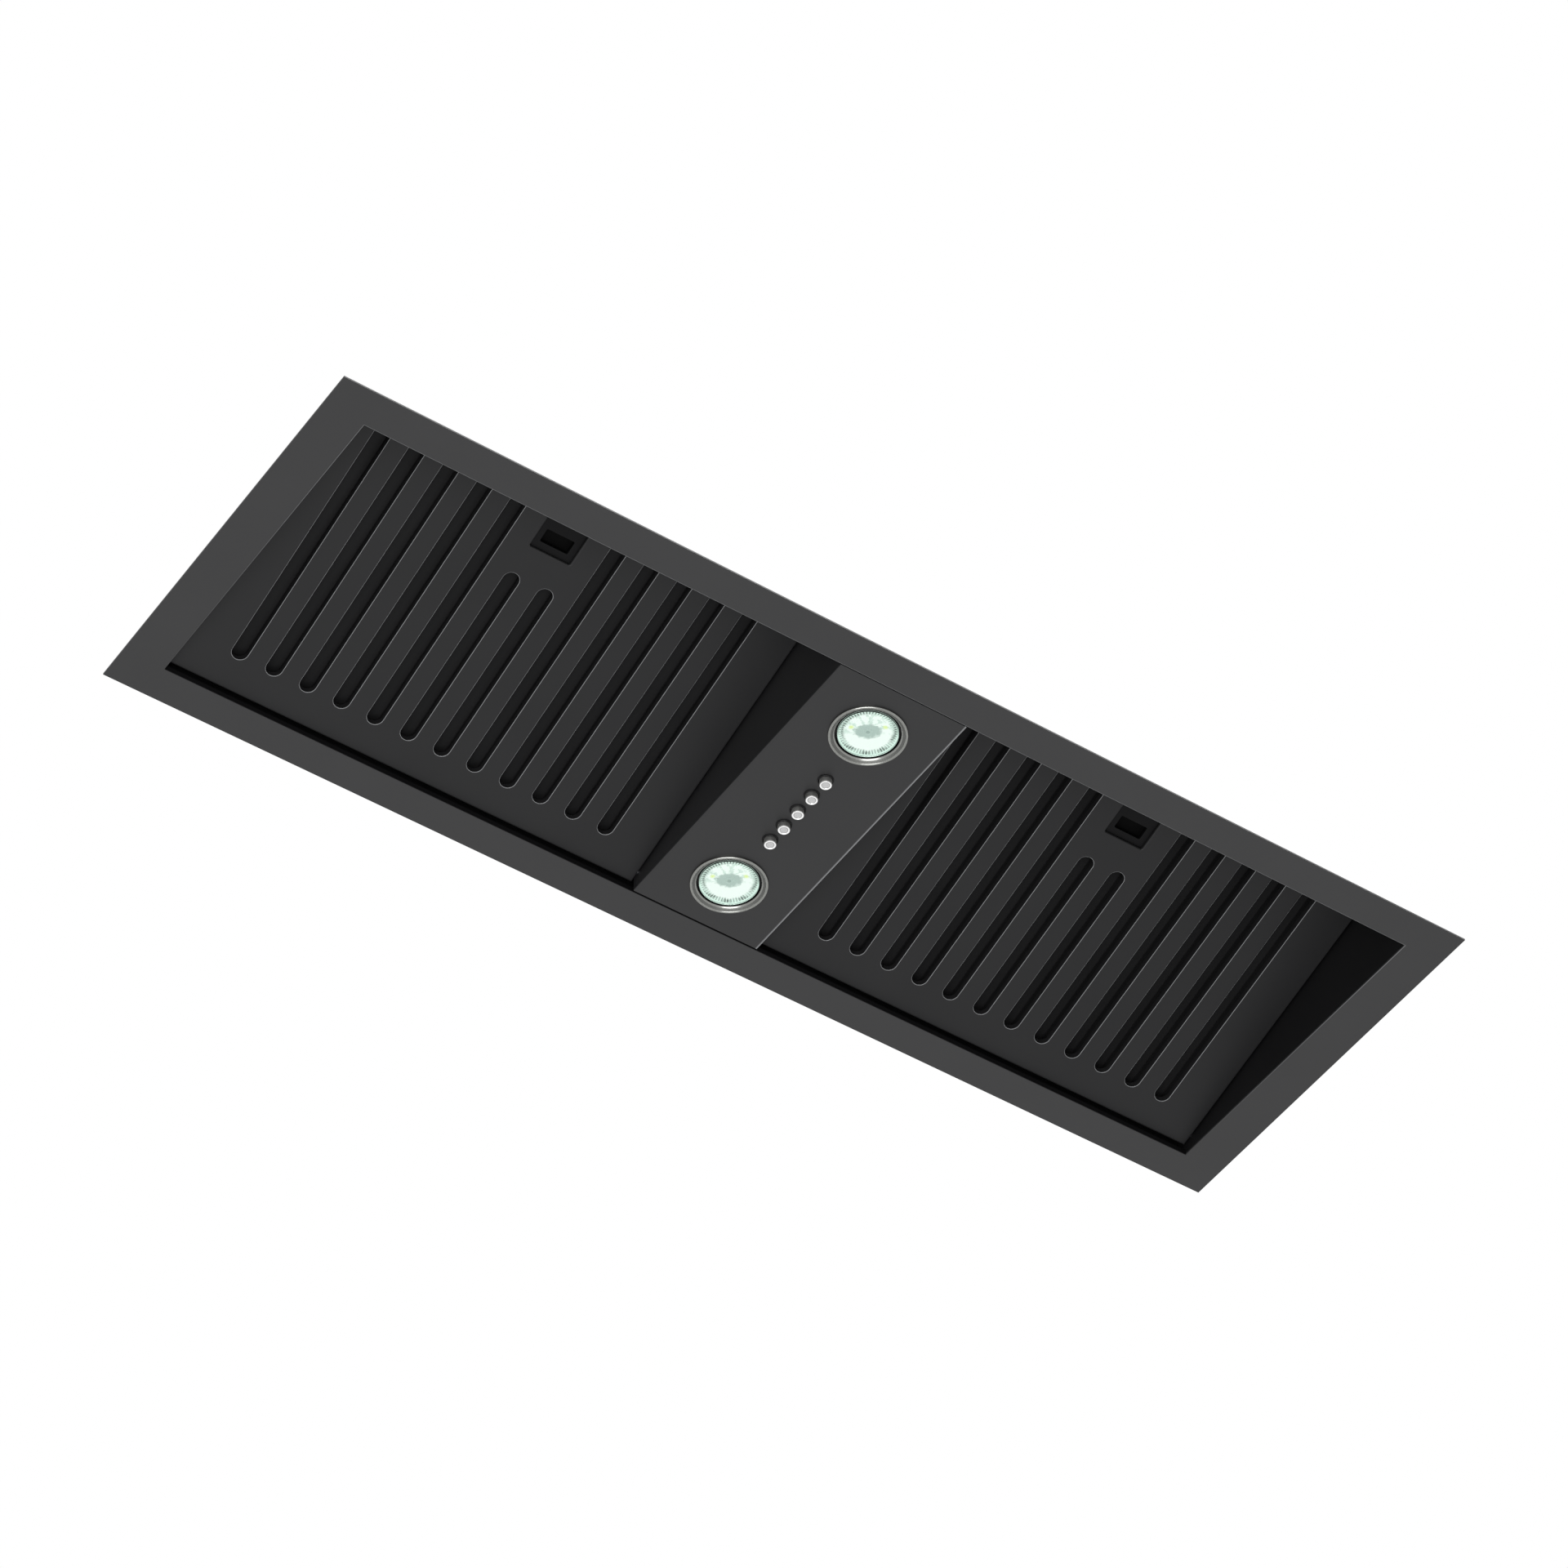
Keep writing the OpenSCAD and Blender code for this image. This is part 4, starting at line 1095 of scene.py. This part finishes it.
@dataclass(frozen=True)
class Filter:
    """A hinged filter: its slotted face with rolled slot edges and rim, and its latch slider.

    All its sizes but the bay's are in the filter's own frame: X across, Y from the hinged edge, negative
    towards the latch, and Z up from the face.
    """

    side: Side
    bay_x: float = 224.25 * MM
    bay_y: float = 120.5 * MM
    bay_z: float = 6 * MM
    slope: float = -16.0
    half: float = 174.5 * MM
    length: float = 236 * MM
    height: float = 22 * MM
    sheet: float = 1 * MM
    bend: float = 1.2 * MM
    wall_foot: float = 1.6 * MM
    slots: int = 12
    pitch: float = 25 * MM
    slot_w: float = 11 * MM
    margin: float = 22 * MM
    long_slot: float = 192 * MM
    short_slot: float = 136 * MM
    slot_bend: float = 0.7 * MM
    slot_edge: float = 5 * MM
    recess: float = 30 * MM
    recess_bend: float = 1.1 * MM
    recess_edge: float = 1.9 * MM
    recess_corner: float = 1.2 * MM
    latch_y: float = -194.5 * MM
    finger_y: float = -189.2 * MM
    finger_width: float = 20.5 * MM
    finger_length: float = 9.5 * MM
    finger_bend: float = 0.3 * MM
    finger_edge: float = 2.6 * MM
    finger_corner: float = 0.8 * MM
    stud_y: float = -6 * MM
    stud_z: float = 6 * MM
    stud_hole: float = 5.2 * MM
    bolt_slot: tuple[Pair, Pair] = ((-10.3 * MM, 2.1 * MM), (10.3 * MM, 4.2 * MM))
    plate_half: float = 17 * MM
    plate_rear: float = -178 * MM
    plate_front: float = -218 * MM
    plate_z: float = 2.4 * MM
    plate_sheet: float = 1.5 * MM
    bolt_half: float = 10 * MM
    bolt_tip: float = -243 * MM

    @property
    def tilt(self) -> Tilt:
        """Where the filter's own frame lies in the hood."""
        return Tilt(self.side.value * self.bay_x, self.bay_y, self.bay_z, self.slope)

    def slot_holes(self) -> list[Hole]:
        """One round-ended slot per pitch, the two middle ones shorter.

        Returns:
            The slots, from the low X to the high.
        """
        places = [i - (self.slots - 1) / 2 for i in range(self.slots)]
        lengths = [self.short_slot if abs(p) < 1 else self.long_slot for p in places]
        # the slots keep the holes' default, so their rolled rims get the painted pale highlight
        return [Hole(p * self.pitch, -self.margin - length / 2, self.slot_w, length, self.slot_bend,
                     self.slot_edge, self.slot_w / 2) for p, length in zip(places, lengths)]

    def recess_hole(self) -> Hole:
        """The square opening through which the slider is worked."""
        return Hole(0.0, self.latch_y, self.recess, self.recess, self.recess_bend, self.recess_edge,
                    self.recess_corner, wear_and_highlight=False)

    def finger_hole(self) -> Hole:
        """The oblong hole in the slider's plate for a finger."""
        return Hole(0.0, self.finger_y, self.finger_width, self.finger_length, self.finger_bend,
                    self.finger_edge, self.finger_corner, wear_and_highlight=False)

    def walls(self) -> Surface:
        """The four rim walls above the fold, with the stud holes and the bolt's slot.

        Each is a flat sheet made lying down, then stood up by the order of its coordinates.

        Returns:
            The open walls as one surface: left, right, front and rear.
        """
        across = self.stud_hole
        stud = Hole(self.stud_y, self.stud_z, across, across, 0.0, 0.0, across / 2).loop(0.0)
        end = rectangle((-self.length, self.wall_foot), (0.0, self.height))
        long = rectangle((-self.half, self.wall_foot), (self.half, self.height))
        bolt = rectangle(*self.bolt_slot)
        return joined(pierced(end, [stud], -self.half).reordered(2, 0, 1),
                      pierced(end, [stud], self.half).reordered(2, 0, 1).flipped(),
                      pierced(long, [bolt], -self.length).reordered(0, 2, 1).flipped(),
                      pierced(long, []).reordered(0, 2, 1))

    def face(self) -> Surface:
        """The slotted sheet with its rolled slot edges, the recess and the folded rim.

        The rim's section is a quarter circle, carried round the sheet and up to the walls' foot.

        Returns:
            The open sheet.
        """
        flat = self.bend + Hole.flat
        holes = self.slot_holes() + [self.recess_hole()]
        low, high = (-self.half, -self.length), (self.half, 0.0)
        inner = rectangle((low[0] + flat, low[1] + flat), (high[0] - flat, high[1] - flat))
        sheet = pierced(inner, [h.edge() for h in holes])
        roll = [(r, r, z) for r, z in arc((-self.bend, self.bend), self.bend, 0, -90, BEND_STEPS)]
        fold = framed(low, high, [(0.0, 0.0, self.wall_foot)] + roll + [(-flat, -flat, 0.0)])
        return joined(sheet, fold, self.walls(), *(h.rim(0.0) for h in holes))

    def slider(self) -> Surface:
        """The latch plate with its rolled finger hole, and the bolt at its front.

        Returns:
            The open sheet.
        """
        half, bolt, tip = self.plate_half, self.bolt_half, self.bolt_tip
        rear, front = self.plate_rear, self.plate_front
        outline = np.array([(-half, front), (-bolt, front), (-bolt, tip), (bolt, tip), (bolt, front),
                            (half, front), (half, rear), (-half, rear)])
        finger = self.finger_hole()
        return joined(pierced(outline, [finger.edge()], self.plate_z), finger.rim(self.plate_z))

    def build(self) -> None:
        """Makes the face and the slider."""
        word = self.side.word
        make_piece(f"slotted_face_{word}", self.tilt.place(self.face()), FILTER_LACQUER, f"filter_{word}",
                   [f"filter_face_{word}"], sheet=self.sheet)
        # painted shade: the latch plate's near-black finish darkens the recess
        make_piece(f"latch_plate_{word}", self.tilt.place(self.slider()), BLACK_OXIDE_AND_SHADE, f"latch_{word}",
                   [f"latch_slider_{word}"], sheet=self.plate_sheet)


@dataclass(frozen=True)
class Lamp:
    """A recessed lamp: trim ring, fluted glass and lit reflector.

    Profiles are points (r, z) in millimetres, z counted up from the strip's face. The glass's fields are in
    millimetres too: its radius, where its flutes start and how far they reach, the heights of its front's
    edge and of its back, and how far its middle domes and its flutes stand out.
    """

    row: Row
    flutes: int = 60
    flute_steps: int = 6
    glass: float = 19.7
    flute_start: float = 14.0
    flute_reach: float = 5.2
    front: float = 0.5
    back: float = 1.6
    relief: float = 0.25

    def ring(self) -> Surface:
        """A rounded bezel, a sloped inner flank and the sleeve that runs up into the strip.

        Returns:
            The turned, closed surface.
        """
        bezel = [(25.8, -0.6)] + arc((24.8, -0.8), 1.0, 0, -180, 12)
        flank = [(22.9, -0.55), (22.0, -0.15), (21.5, 0.4)]
        sleeve = [(21.5, 10), (22, 10), (22, 0), (25.8, 0)]
        return revolved(bezel + flank + sleeve, closed=True)

    def flank(self) -> Surface:
        """A darker copy of the ring's nickel over its inner flank, painted shade for the dark it mirrors.

        Returns:
            The turned, closed surface.
        """
        shown = [(24.0, -1.2), (22.9, -0.65), (22.0, -0.1), (21.3, 0.6)]
        behind = [(21.45, 0.65), (22.0, 0.0), (22.9, -0.5), (24.0, -1.0)]
        return revolved(shown + behind, closed=True)

    def shade_ring(self) -> Surface:
        """A near-black ring of painted shade in the groove between the sleeve and the glass.

        Returns:
            The turned, closed surface.
        """
        behind = [(21.45, 0.6), (21.45, 3.4), (19.85, 3.4), (19.85, 1.7)]
        shown = [(19.95, 1.7), (19.95, 3.3), (21.35, 3.3), (21.35, 0.6)]
        return revolved(behind + shown, closed=True)

    def lens(self) -> Surface:
        """The glass: a low dome set behind the ring's bezel, with radial flutes round its rim.

        The front stands out by relief (1 - (r / glass)^2), and over the rim, with s from 0 to 1 across it,
        by relief sin(pi s) (1 + cos(flutes a)) / 2 more.

        Returns:
            The closed surface, a grid with a row for each radius, outwards in front and inwards behind.
        """
        r = np.array([0, 2, 4, 6, 8, 10, 12, 13.6, 14, 15, 16, 17, 18, 18.7, 19.2, self.glass])[:, None]
        a = np.linspace(0, 2 * math.pi, self.flutes * self.flute_steps, endpoint=False)[None, :]
        s = np.clip((r - self.flute_start) / self.flute_reach, 0, 1)
        dome = self.relief * (1 - (r / self.glass) ** 2)
        front = self.front - dome - self.relief * np.sin(math.pi * s) * (1 + np.cos(self.flutes * a)) / 2
        height = np.concatenate([front, np.full(front.shape, self.back)])
        reach = np.concatenate([r, r[::-1]])
        points = np.stack([reach * np.cos(a), reach * np.sin(a), height], -1) * MM
        return grid(points, wrap_v=True)

    def reflector(self) -> Surface:
        """The dish behind the glass: it falls from its rim to a flat floor with a low diode dome.

        Returns:
            The turned, closed surface.
        """
        dome = [(0, 3.1), (1.6, 3.2), (2.6, 3.6), (2.8, 4.0)]
        dish = [(9.5, 4.0), (12, 3.7), (16, 2.9), (19.6, 1.9)]
        return revolved(dome + dish + [(19.7, 5.6), (0, 5.6)])

    def build(self) -> None:
        """Makes the lamp's ring with its darker flank shell and its ring of painted shade, its glass and its
        reflector.
        """
        word = self.row.word
        glow = LitReflector(f"lit_metallised_reflector_{word}", self.row.y)
        pieces = [("trim_ring", self.ring(), NICKEL, "polished_chrome", [f"lamp_ring_{word}"]),
                  # painted shade: a darker nickel shell over the ring's flank
                  ("flank_painted_shade", self.flank(), SHADED_FLANK_NICKEL, "polished_chrome", []),
                  # painted shade: a near-black ring laid in the groove round the glass
                  ("shade_ring", self.shade_ring(), SHADED_INNER_LACQUER, "black_coated_steel", []),
                  ("fluted_glass", self.lens(), LENS, "lamp_glass", [f"lamp_glass_{word}"]),
                  ("reflector", self.reflector(), glow, "led_board", ["lamp_boards"])]
        for name, surface, finish, slot, nodes in pieces:
            placed = surface.moved(self.row.y, STRIP_FACE_Z)
            make_piece(f"{name}_{word}", placed, finish, "case", nodes)


@dataclass(frozen=True)
class PushButton:
    """A polished push-button: a cap with a rounded rim and an inset disc, on its shoulder and stem.

    Profiles are points (r, z) in millimetres, z counted up from the strip's face.
    """

    key: Key

    def cap(self) -> Surface:
        """The turned head: recess and rounded rim.

        Returns:
            The turned, closed surface.
        """
        recess = [(0, -4.5), (2.7, -4.5), (2.85, -4.8)]
        rim = arc((3.2, -4.7), 0.3, -150, -90, 3) + arc((3.4, -4.3), 0.7, -90, -52, 4)
        return revolved(recess + rim + [(0, -4.0)], steps=64)

    def shaft(self) -> Surface:
        """The side, shoulder and stem behind the head, in a darker nickel as painted shade.

        Returns:
            The turned, closed surface.
        """
        side = [(0, -4.3), (3.85, -4.8), (4.0, -4.65), (4.1, -4.4), (4.18, -4.1), (4.2, -3.8), (4.2, 3.3)]
        shoulder = [(5.0, 3.3), (5.0, 5.3)]
        stem = [(2.5, 5.3), (2.5, 27), (0, 27)]
        return revolved(side + shoulder + stem, steps=64)

    def inset(self) -> Surface:
        """The slightly crowned disc in the cap's recess, turned from its section."""
        return revolved([(0, -4.75), (1.5, -4.72), (2.5, -4.6), (2.6, -4.45), (0, -4.45)], steps=48)

    def build(self) -> None:
        """Makes the cap, its shaft and its disc."""
        word = self.key.word
        pieces = [("cap", self.cap(), BUTTON_METAL, [f"button_{word}"]),
                  # painted shade: the sides get a darker nickel than the head
                  ("cap_shaft", self.shaft(), SHADED_SHAFT_NICKEL, []),
                  ("cap_disc", self.inset(), BUTTON_INSET, [])]
        for name, surface, finish, nodes in pieces:
            placed = surface.moved(self.key.y, STRIP_FACE_Z)
            make_piece(f"{name}_{word}", placed, finish, f"{word}_button", nodes)


@dataclass(frozen=True)
class ButtonCollars:
    """The slim black collars that line the button holes. Radii, depth and profile are in millimetres."""

    bore: float = 4.6
    outside: float = 5.0
    rim: float = 5.4
    depth: float = 3.0

    def build(self) -> None:
        """Makes the five collars as one piece, each turned from a section with a rounded lower rim."""
        rounded = [(self.bore, -0.55)] + arc((self.outside, -0.45), 0.35, -150, 0, 6)
        sleeve = [(self.rim, 0), (self.outside, 0), (self.outside, self.depth), (self.bore, self.depth)]
        one = revolved(rounded + sleeve, steps=48, closed=True)
        collars = joined(*(one.moved(key.y, STRIP_FACE_Z) for key in Key))
        make_piece("hole_collars", collars, POLYMER, "case", ["button_collars"])


@dataclass(frozen=True)
class Spring:
    """A coil spring of round wire.

    Fields are the coil's mean radius, the wire's diameter, the spring's length, its turns, and the steps per
    turn and the sides round the wire that its mesh has.
    """

    radius: float
    wire: float
    length: float
    turns: int
    steps: int = 28
    sides: int = 10

    def coil(self) -> Surface:
        """The wire's skin, its axis on Z from 0 up.

        The wire's middle is (radius cos a, radius sin a, climb), with an even climb, and its skin a circle
        round it in the plane through the axis, which closes to a point at both ends.

        Returns:
            The closed surface.
        """
        a = np.linspace(0, 2 * math.pi * self.turns, self.turns * self.steps + 1)
        climb = self.wire / 2 + (self.length - self.wire) * a / a[-1]
        a, climb = (np.concatenate([v[:1], v, v[-1:]])[:, None] for v in (a, climb))
        thick = np.full(a.shape, self.wire / 2)
        thick[[0, -1]] = 0.0
        b = np.linspace(0, 2 * math.pi, self.sides, endpoint=False)[None, :]
        reach = self.radius + thick * np.cos(b)
        skin = np.stack([reach * np.cos(a), reach * np.sin(a), climb + thick * np.sin(b)], -1)
        return grid(skin, wrap_v=True)

    def keep(self, travel: float) -> float:
        """The share of its length that is left when one end has moved by the travel."""
        return (self.length - travel) / self.length


@dataclass(frozen=True)
class ReturnSprings:
    """The springs round the buttons' stems and behind the latch sliders."""

    stem: Spring = Spring(3.2 * MM, 0.8 * MM, 6.7 * MM, 4)
    latch: Spring = Spring(1.5 * MM, 0.8 * MM, 15 * MM, 9)
    seat_z: float = 10.5 * MM
    press: float = 3 * MM
    slide: float = 6 * MM
    slider_middle: float = 3.15 * MM

    def stem_spring(self, key: Key) -> None:
        """Makes the spring between a button's shoulder and the switch block.

        Args:
            key: The button.
        """
        spring, y = self.stem, key.y
        placed = spring.coil().moved(y, self.seat_z - spring.length)
        piece = make_piece(f"stem_spring_{key.word}", placed, ZINC, "case",
                           ["button_springs"])
        spring.keep(self.press)
        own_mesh(piece)

    def slider_spring(self, side: Side) -> None:
        """Makes the spring between a slider and its guide's rear wall; its axis lies along the filter.

        Args:
            side: The filter's hand.
        """
        spring, carrier = self.latch, Filter(side)
        tilt, y, z = carrier.tilt, carrier.plate_rear, self.slider_middle
        placed = tilt.place(spring.coil().reordered(0, 2, 1).moved(y, z))
        piece = make_piece(f"slider_spring_{side.word}", placed, ZINC, f"filter_{side.word}",
                           [f"latch_spring_{side.word}"])
        seat, free = tilt.place(Surface(np.array([[0.0, y + spring.length, z], [0.0, y, z]]), [])).points
        spring.keep(self.slide)
        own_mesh(piece)

    def build(self) -> None:
        """Makes all the springs."""
        for key in Key:
            self.stem_spring(key)
        for side in Side:
            self.slider_spring(side)


@dataclass(frozen=True)
class CollarEdges:
    """The hem at the duct collar's mouth and the bend where its tube leaves the base ring.

    The sections are turned about the collar's axis, which stands at y; they are in millimetres.
    """

    y: float = 40 * MM

    def build(self) -> None:
        """Makes both rings as one piece."""
        hem = arc((73.3, 311.4), 0.6, 0, 330, 11)
        bend = arc((76.5, 265), 2.0, 270, 180, 6) + [(74.4, 262.9)]
        rings = joined(*(revolved(section, closed=True) for section in (hem, bend)))
        make_piece("collar_edges", rings.moved(self.y), LACQUER, "case")


def dress_nodes(finishes: dict[Finish, Sequence[str]]) -> None:
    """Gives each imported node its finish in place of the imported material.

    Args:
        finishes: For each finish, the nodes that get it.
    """
    for finish, names in finishes.items():
        for name in names:
            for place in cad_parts[name].material_slots:
                place.material = finish.material()
            log.info("%s finished as %s", name, finish.name)


KEPT_NODES: dict[Finish, Sequence[str]] = {
    LACQUER: ["duct_collar", "motor_bracket"],
    # painted shade: the case's inner parts get the darkened lacquer
    SHADED_INNER_LACQUER: ["front_panel", "rear_panel", "left_end_plate", "right_end_plate", "top_panel",
                    "front_rail_left", "front_rail_right"],
    ENAMEL: ["filter_baffles_left", "filter_baffles_right"],
    GALVANISED: ["housing_cover", "blower_scroll", "blower_side_left", "blower_side_right", "junction_box",
                 "junction_cover", "damper_flap_left", "damper_flap_right", "impeller", "impeller_rings"],
    ZINC: ["hinge_studs", "damper_pins", "case_screws", "motor_shaft", "motor_body", "capacitor",
           "lamp_clips"],
    ALUMINIUM: ["lamp_body_front", "lamp_body_rear"],
    # painted shade: the guides get the darker copy of the nylon
    GUIDE_POLYMER_SHADED: ["latch_guide_left", "latch_guide_right"],
    POLYMER: ["switch_body", "switch_cover", "cable_gland", "led_driver", "wiring"],
    RUBBER: ["motor_bushes", "collar_gasket"],
}


# Setting


@dataclass(frozen=True)
class Studio:
    """A pale floor, a white board, soft lamps and sky, and the camera at the photograph's place.

    The camera's place and axes come from the flange's corners and other places matched in the photograph.
    """

    eye: Triple = (-1.55361, -2.29701, -2.90344)
    right: Triple = (0.8297, -0.5582, 0.0007)
    up: Triple = (-0.4056, -0.6020, 0.6878)
    lens: float = 143.02
    sensor: float = 36.0
    clip: float = 100.0
    floor_z: float = -4.3
    floor_half: float = 12.0
    floor_grey: str = "#e8e8e8"
    floor_roughness: float = 0.9
    board_low: Pair = (-402.5 * MM, -123.5 * MM)
    board_high: Pair = (402.5 * MM, 131.5 * MM)
    board_z: float = 0.3 * MM
    board_reach: float = 0.8
    sky: float = 0.45

    def camera(self) -> None:
        """Sets the camera: its axes are right, up and their cross product, backwards."""
        right, up = Vector(self.right).normalized(), Vector(self.up)
        back = right.cross(up).normalized()
        up = back.cross(right)
        data = bpy.data.cameras.new("camera")
        data.sensor_width = self.sensor
        data.lens = self.lens
        data.clip_end = self.clip
        seat = Matrix((right, up, back)).transposed().to_4x4()
        seat.translation = Vector(self.eye)
        camera = linked("camera", data)
        camera.matrix_world = seat
        bpy.context.scene.camera = camera

    def seen_white(self, tree: Tree, lit: Socket) -> Socket:
        """White for what the camera, mirrors and glass see, the lit shader for all other light.

        Args:
            tree: The node tree.
            lit: The lit shader.

        Returns:
            The mixed shader.
        """
        path = add_node(tree, "LightPath")
        seen = add_node(tree, "Math", {0: path["Is Camera Ray"], 1: path["Is Glossy Ray"]},
                        operation="MAXIMUM")["Value"]
        seen = add_node(tree, "Math", {0: seen, 1: path["Is Transmission Ray"]},
                        operation="MAXIMUM")["Value"]
        plain = add_node(tree, "Emission", {"Color": WHITE, "Strength": 1.0})[0]
        return add_node(tree, "MixShader", {0: seen, 1: lit, 2: plain})[0]

    def floor(self) -> None:
        """Lays the pale floor far below, where the camera doesn't see it."""
        paint = new_material("matt_white_floor_paint")
        tree = paint.node_tree
        shader = tree.nodes["Principled BSDF"]
        feed(shader, {"Base Color": srgb(self.floor_grey), "Roughness": self.floor_roughness})
        feed(tree.nodes["Material Output"], {"Surface": self.seen_white(tree, shader.outputs[0])})
        corners = rectangle((-self.floor_half, -self.floor_half), (self.floor_half, self.floor_half))
        sheet = Surface(raised(corners, self.floor_z), [(0, 1, 2, 3)])
        floor = linked("floor", new_mesh("floor", sheet, paint))

    def board(self) -> None:
        """Lays a one-sided white board in the plane of the flange's seat, round the neck.

        The photograph shows nothing above the flange. The board is its white ground there: only the camera
        sees it, and only from below, so it neither lights nor shades the hood, and views from above look
        past it.
        """
        paint = new_material("matt_white_board_seen_from_below")
        tree = paint.node_tree
        tree.nodes.remove(tree.nodes["Principled BSDF"])
        above = add_node(tree, "NewGeometry")["Backfacing"]
        white = add_node(tree, "Emission", {"Color": WHITE, "Strength": 1.0})[0]
        clear = add_node(tree, "BsdfTransparent")[0]
        shown = add_node(tree, "MixShader", {0: above, 1: white, 2: clear})[0]
        feed(tree.nodes["Material Output"], {"Surface": shown})
        section = [(0.0, 0.0, self.board_z), (self.board_reach, self.board_reach, self.board_z)]
        sheet = framed(self.board_low, self.board_high, section).flipped()
        board = linked("mounting_board", new_mesh("mounting_board", sheet, paint))
        board.visible_diffuse = False
        board.visible_glossy = False
        board.visible_transmission = False
        board.visible_shadow = False

    def world(self) -> None:
        """A soft grey sky for the light, white where it is seen."""
        world = bpy.data.worlds.new("studio")
        world.use_nodes = True
        tree = world.node_tree
        sky = add_node(tree, "Background", {"Color": WHITE, "Strength": self.sky})[0]
        feed(tree.nodes["World Output"], {"Surface": self.seen_white(tree, sky)})
        bpy.context.scene.world = world

    def lamp(self, name: str, place: Triple, size: float, watts: float) -> None:
        """Adds a square soft lamp that faces the hood's middle.

        Args:
            name: Its name.
            place: Where it stands.
            size: Its side.
            watts: Its power.
        """
        data = bpy.data.lights.new(name, "AREA")
        data.shape = "SQUARE"
        data.size = size
        data.energy = watts
        lamp = linked(name, data)
        lamp.location = place
        lamp.rotation_euler = (-Vector(place)).to_track_quat("-Z", "Y").to_euler()

    def build(self) -> None:
        """Sets the camera, the floor, the board, the world and the lamps."""
        bpy.context.scene.view_settings.view_transform = "Standard"
        self.camera()
        self.floor()
        self.board()
        self.world()
        self.lamp("soft_lamp_below", (-1.2, -1.4, -2.2), size=1.8, watts=55.0)
        self.lamp("soft_lamp_above", (1.0, -1.5, 3.0), size=2.0, watts=60.0)


def main() -> None:
    """Builds the hood's pieces in order, then the studio."""
    logging.basicConfig(level=logging.INFO, format="%(name)s: %(message)s")
    FlangeFrame().build()
    ControlStrip().build()
    for side in Side:
        Filter(side).build()
    for row in Row:
        Lamp(row).build()
    for key in Key:
        PushButton(key).build()
    ButtonCollars().build()
    ReturnSprings().build()
    CollarEdges().build()
    dress_nodes(KEPT_NODES)
    Studio().build()


if __name__ == "__main__":
    main()
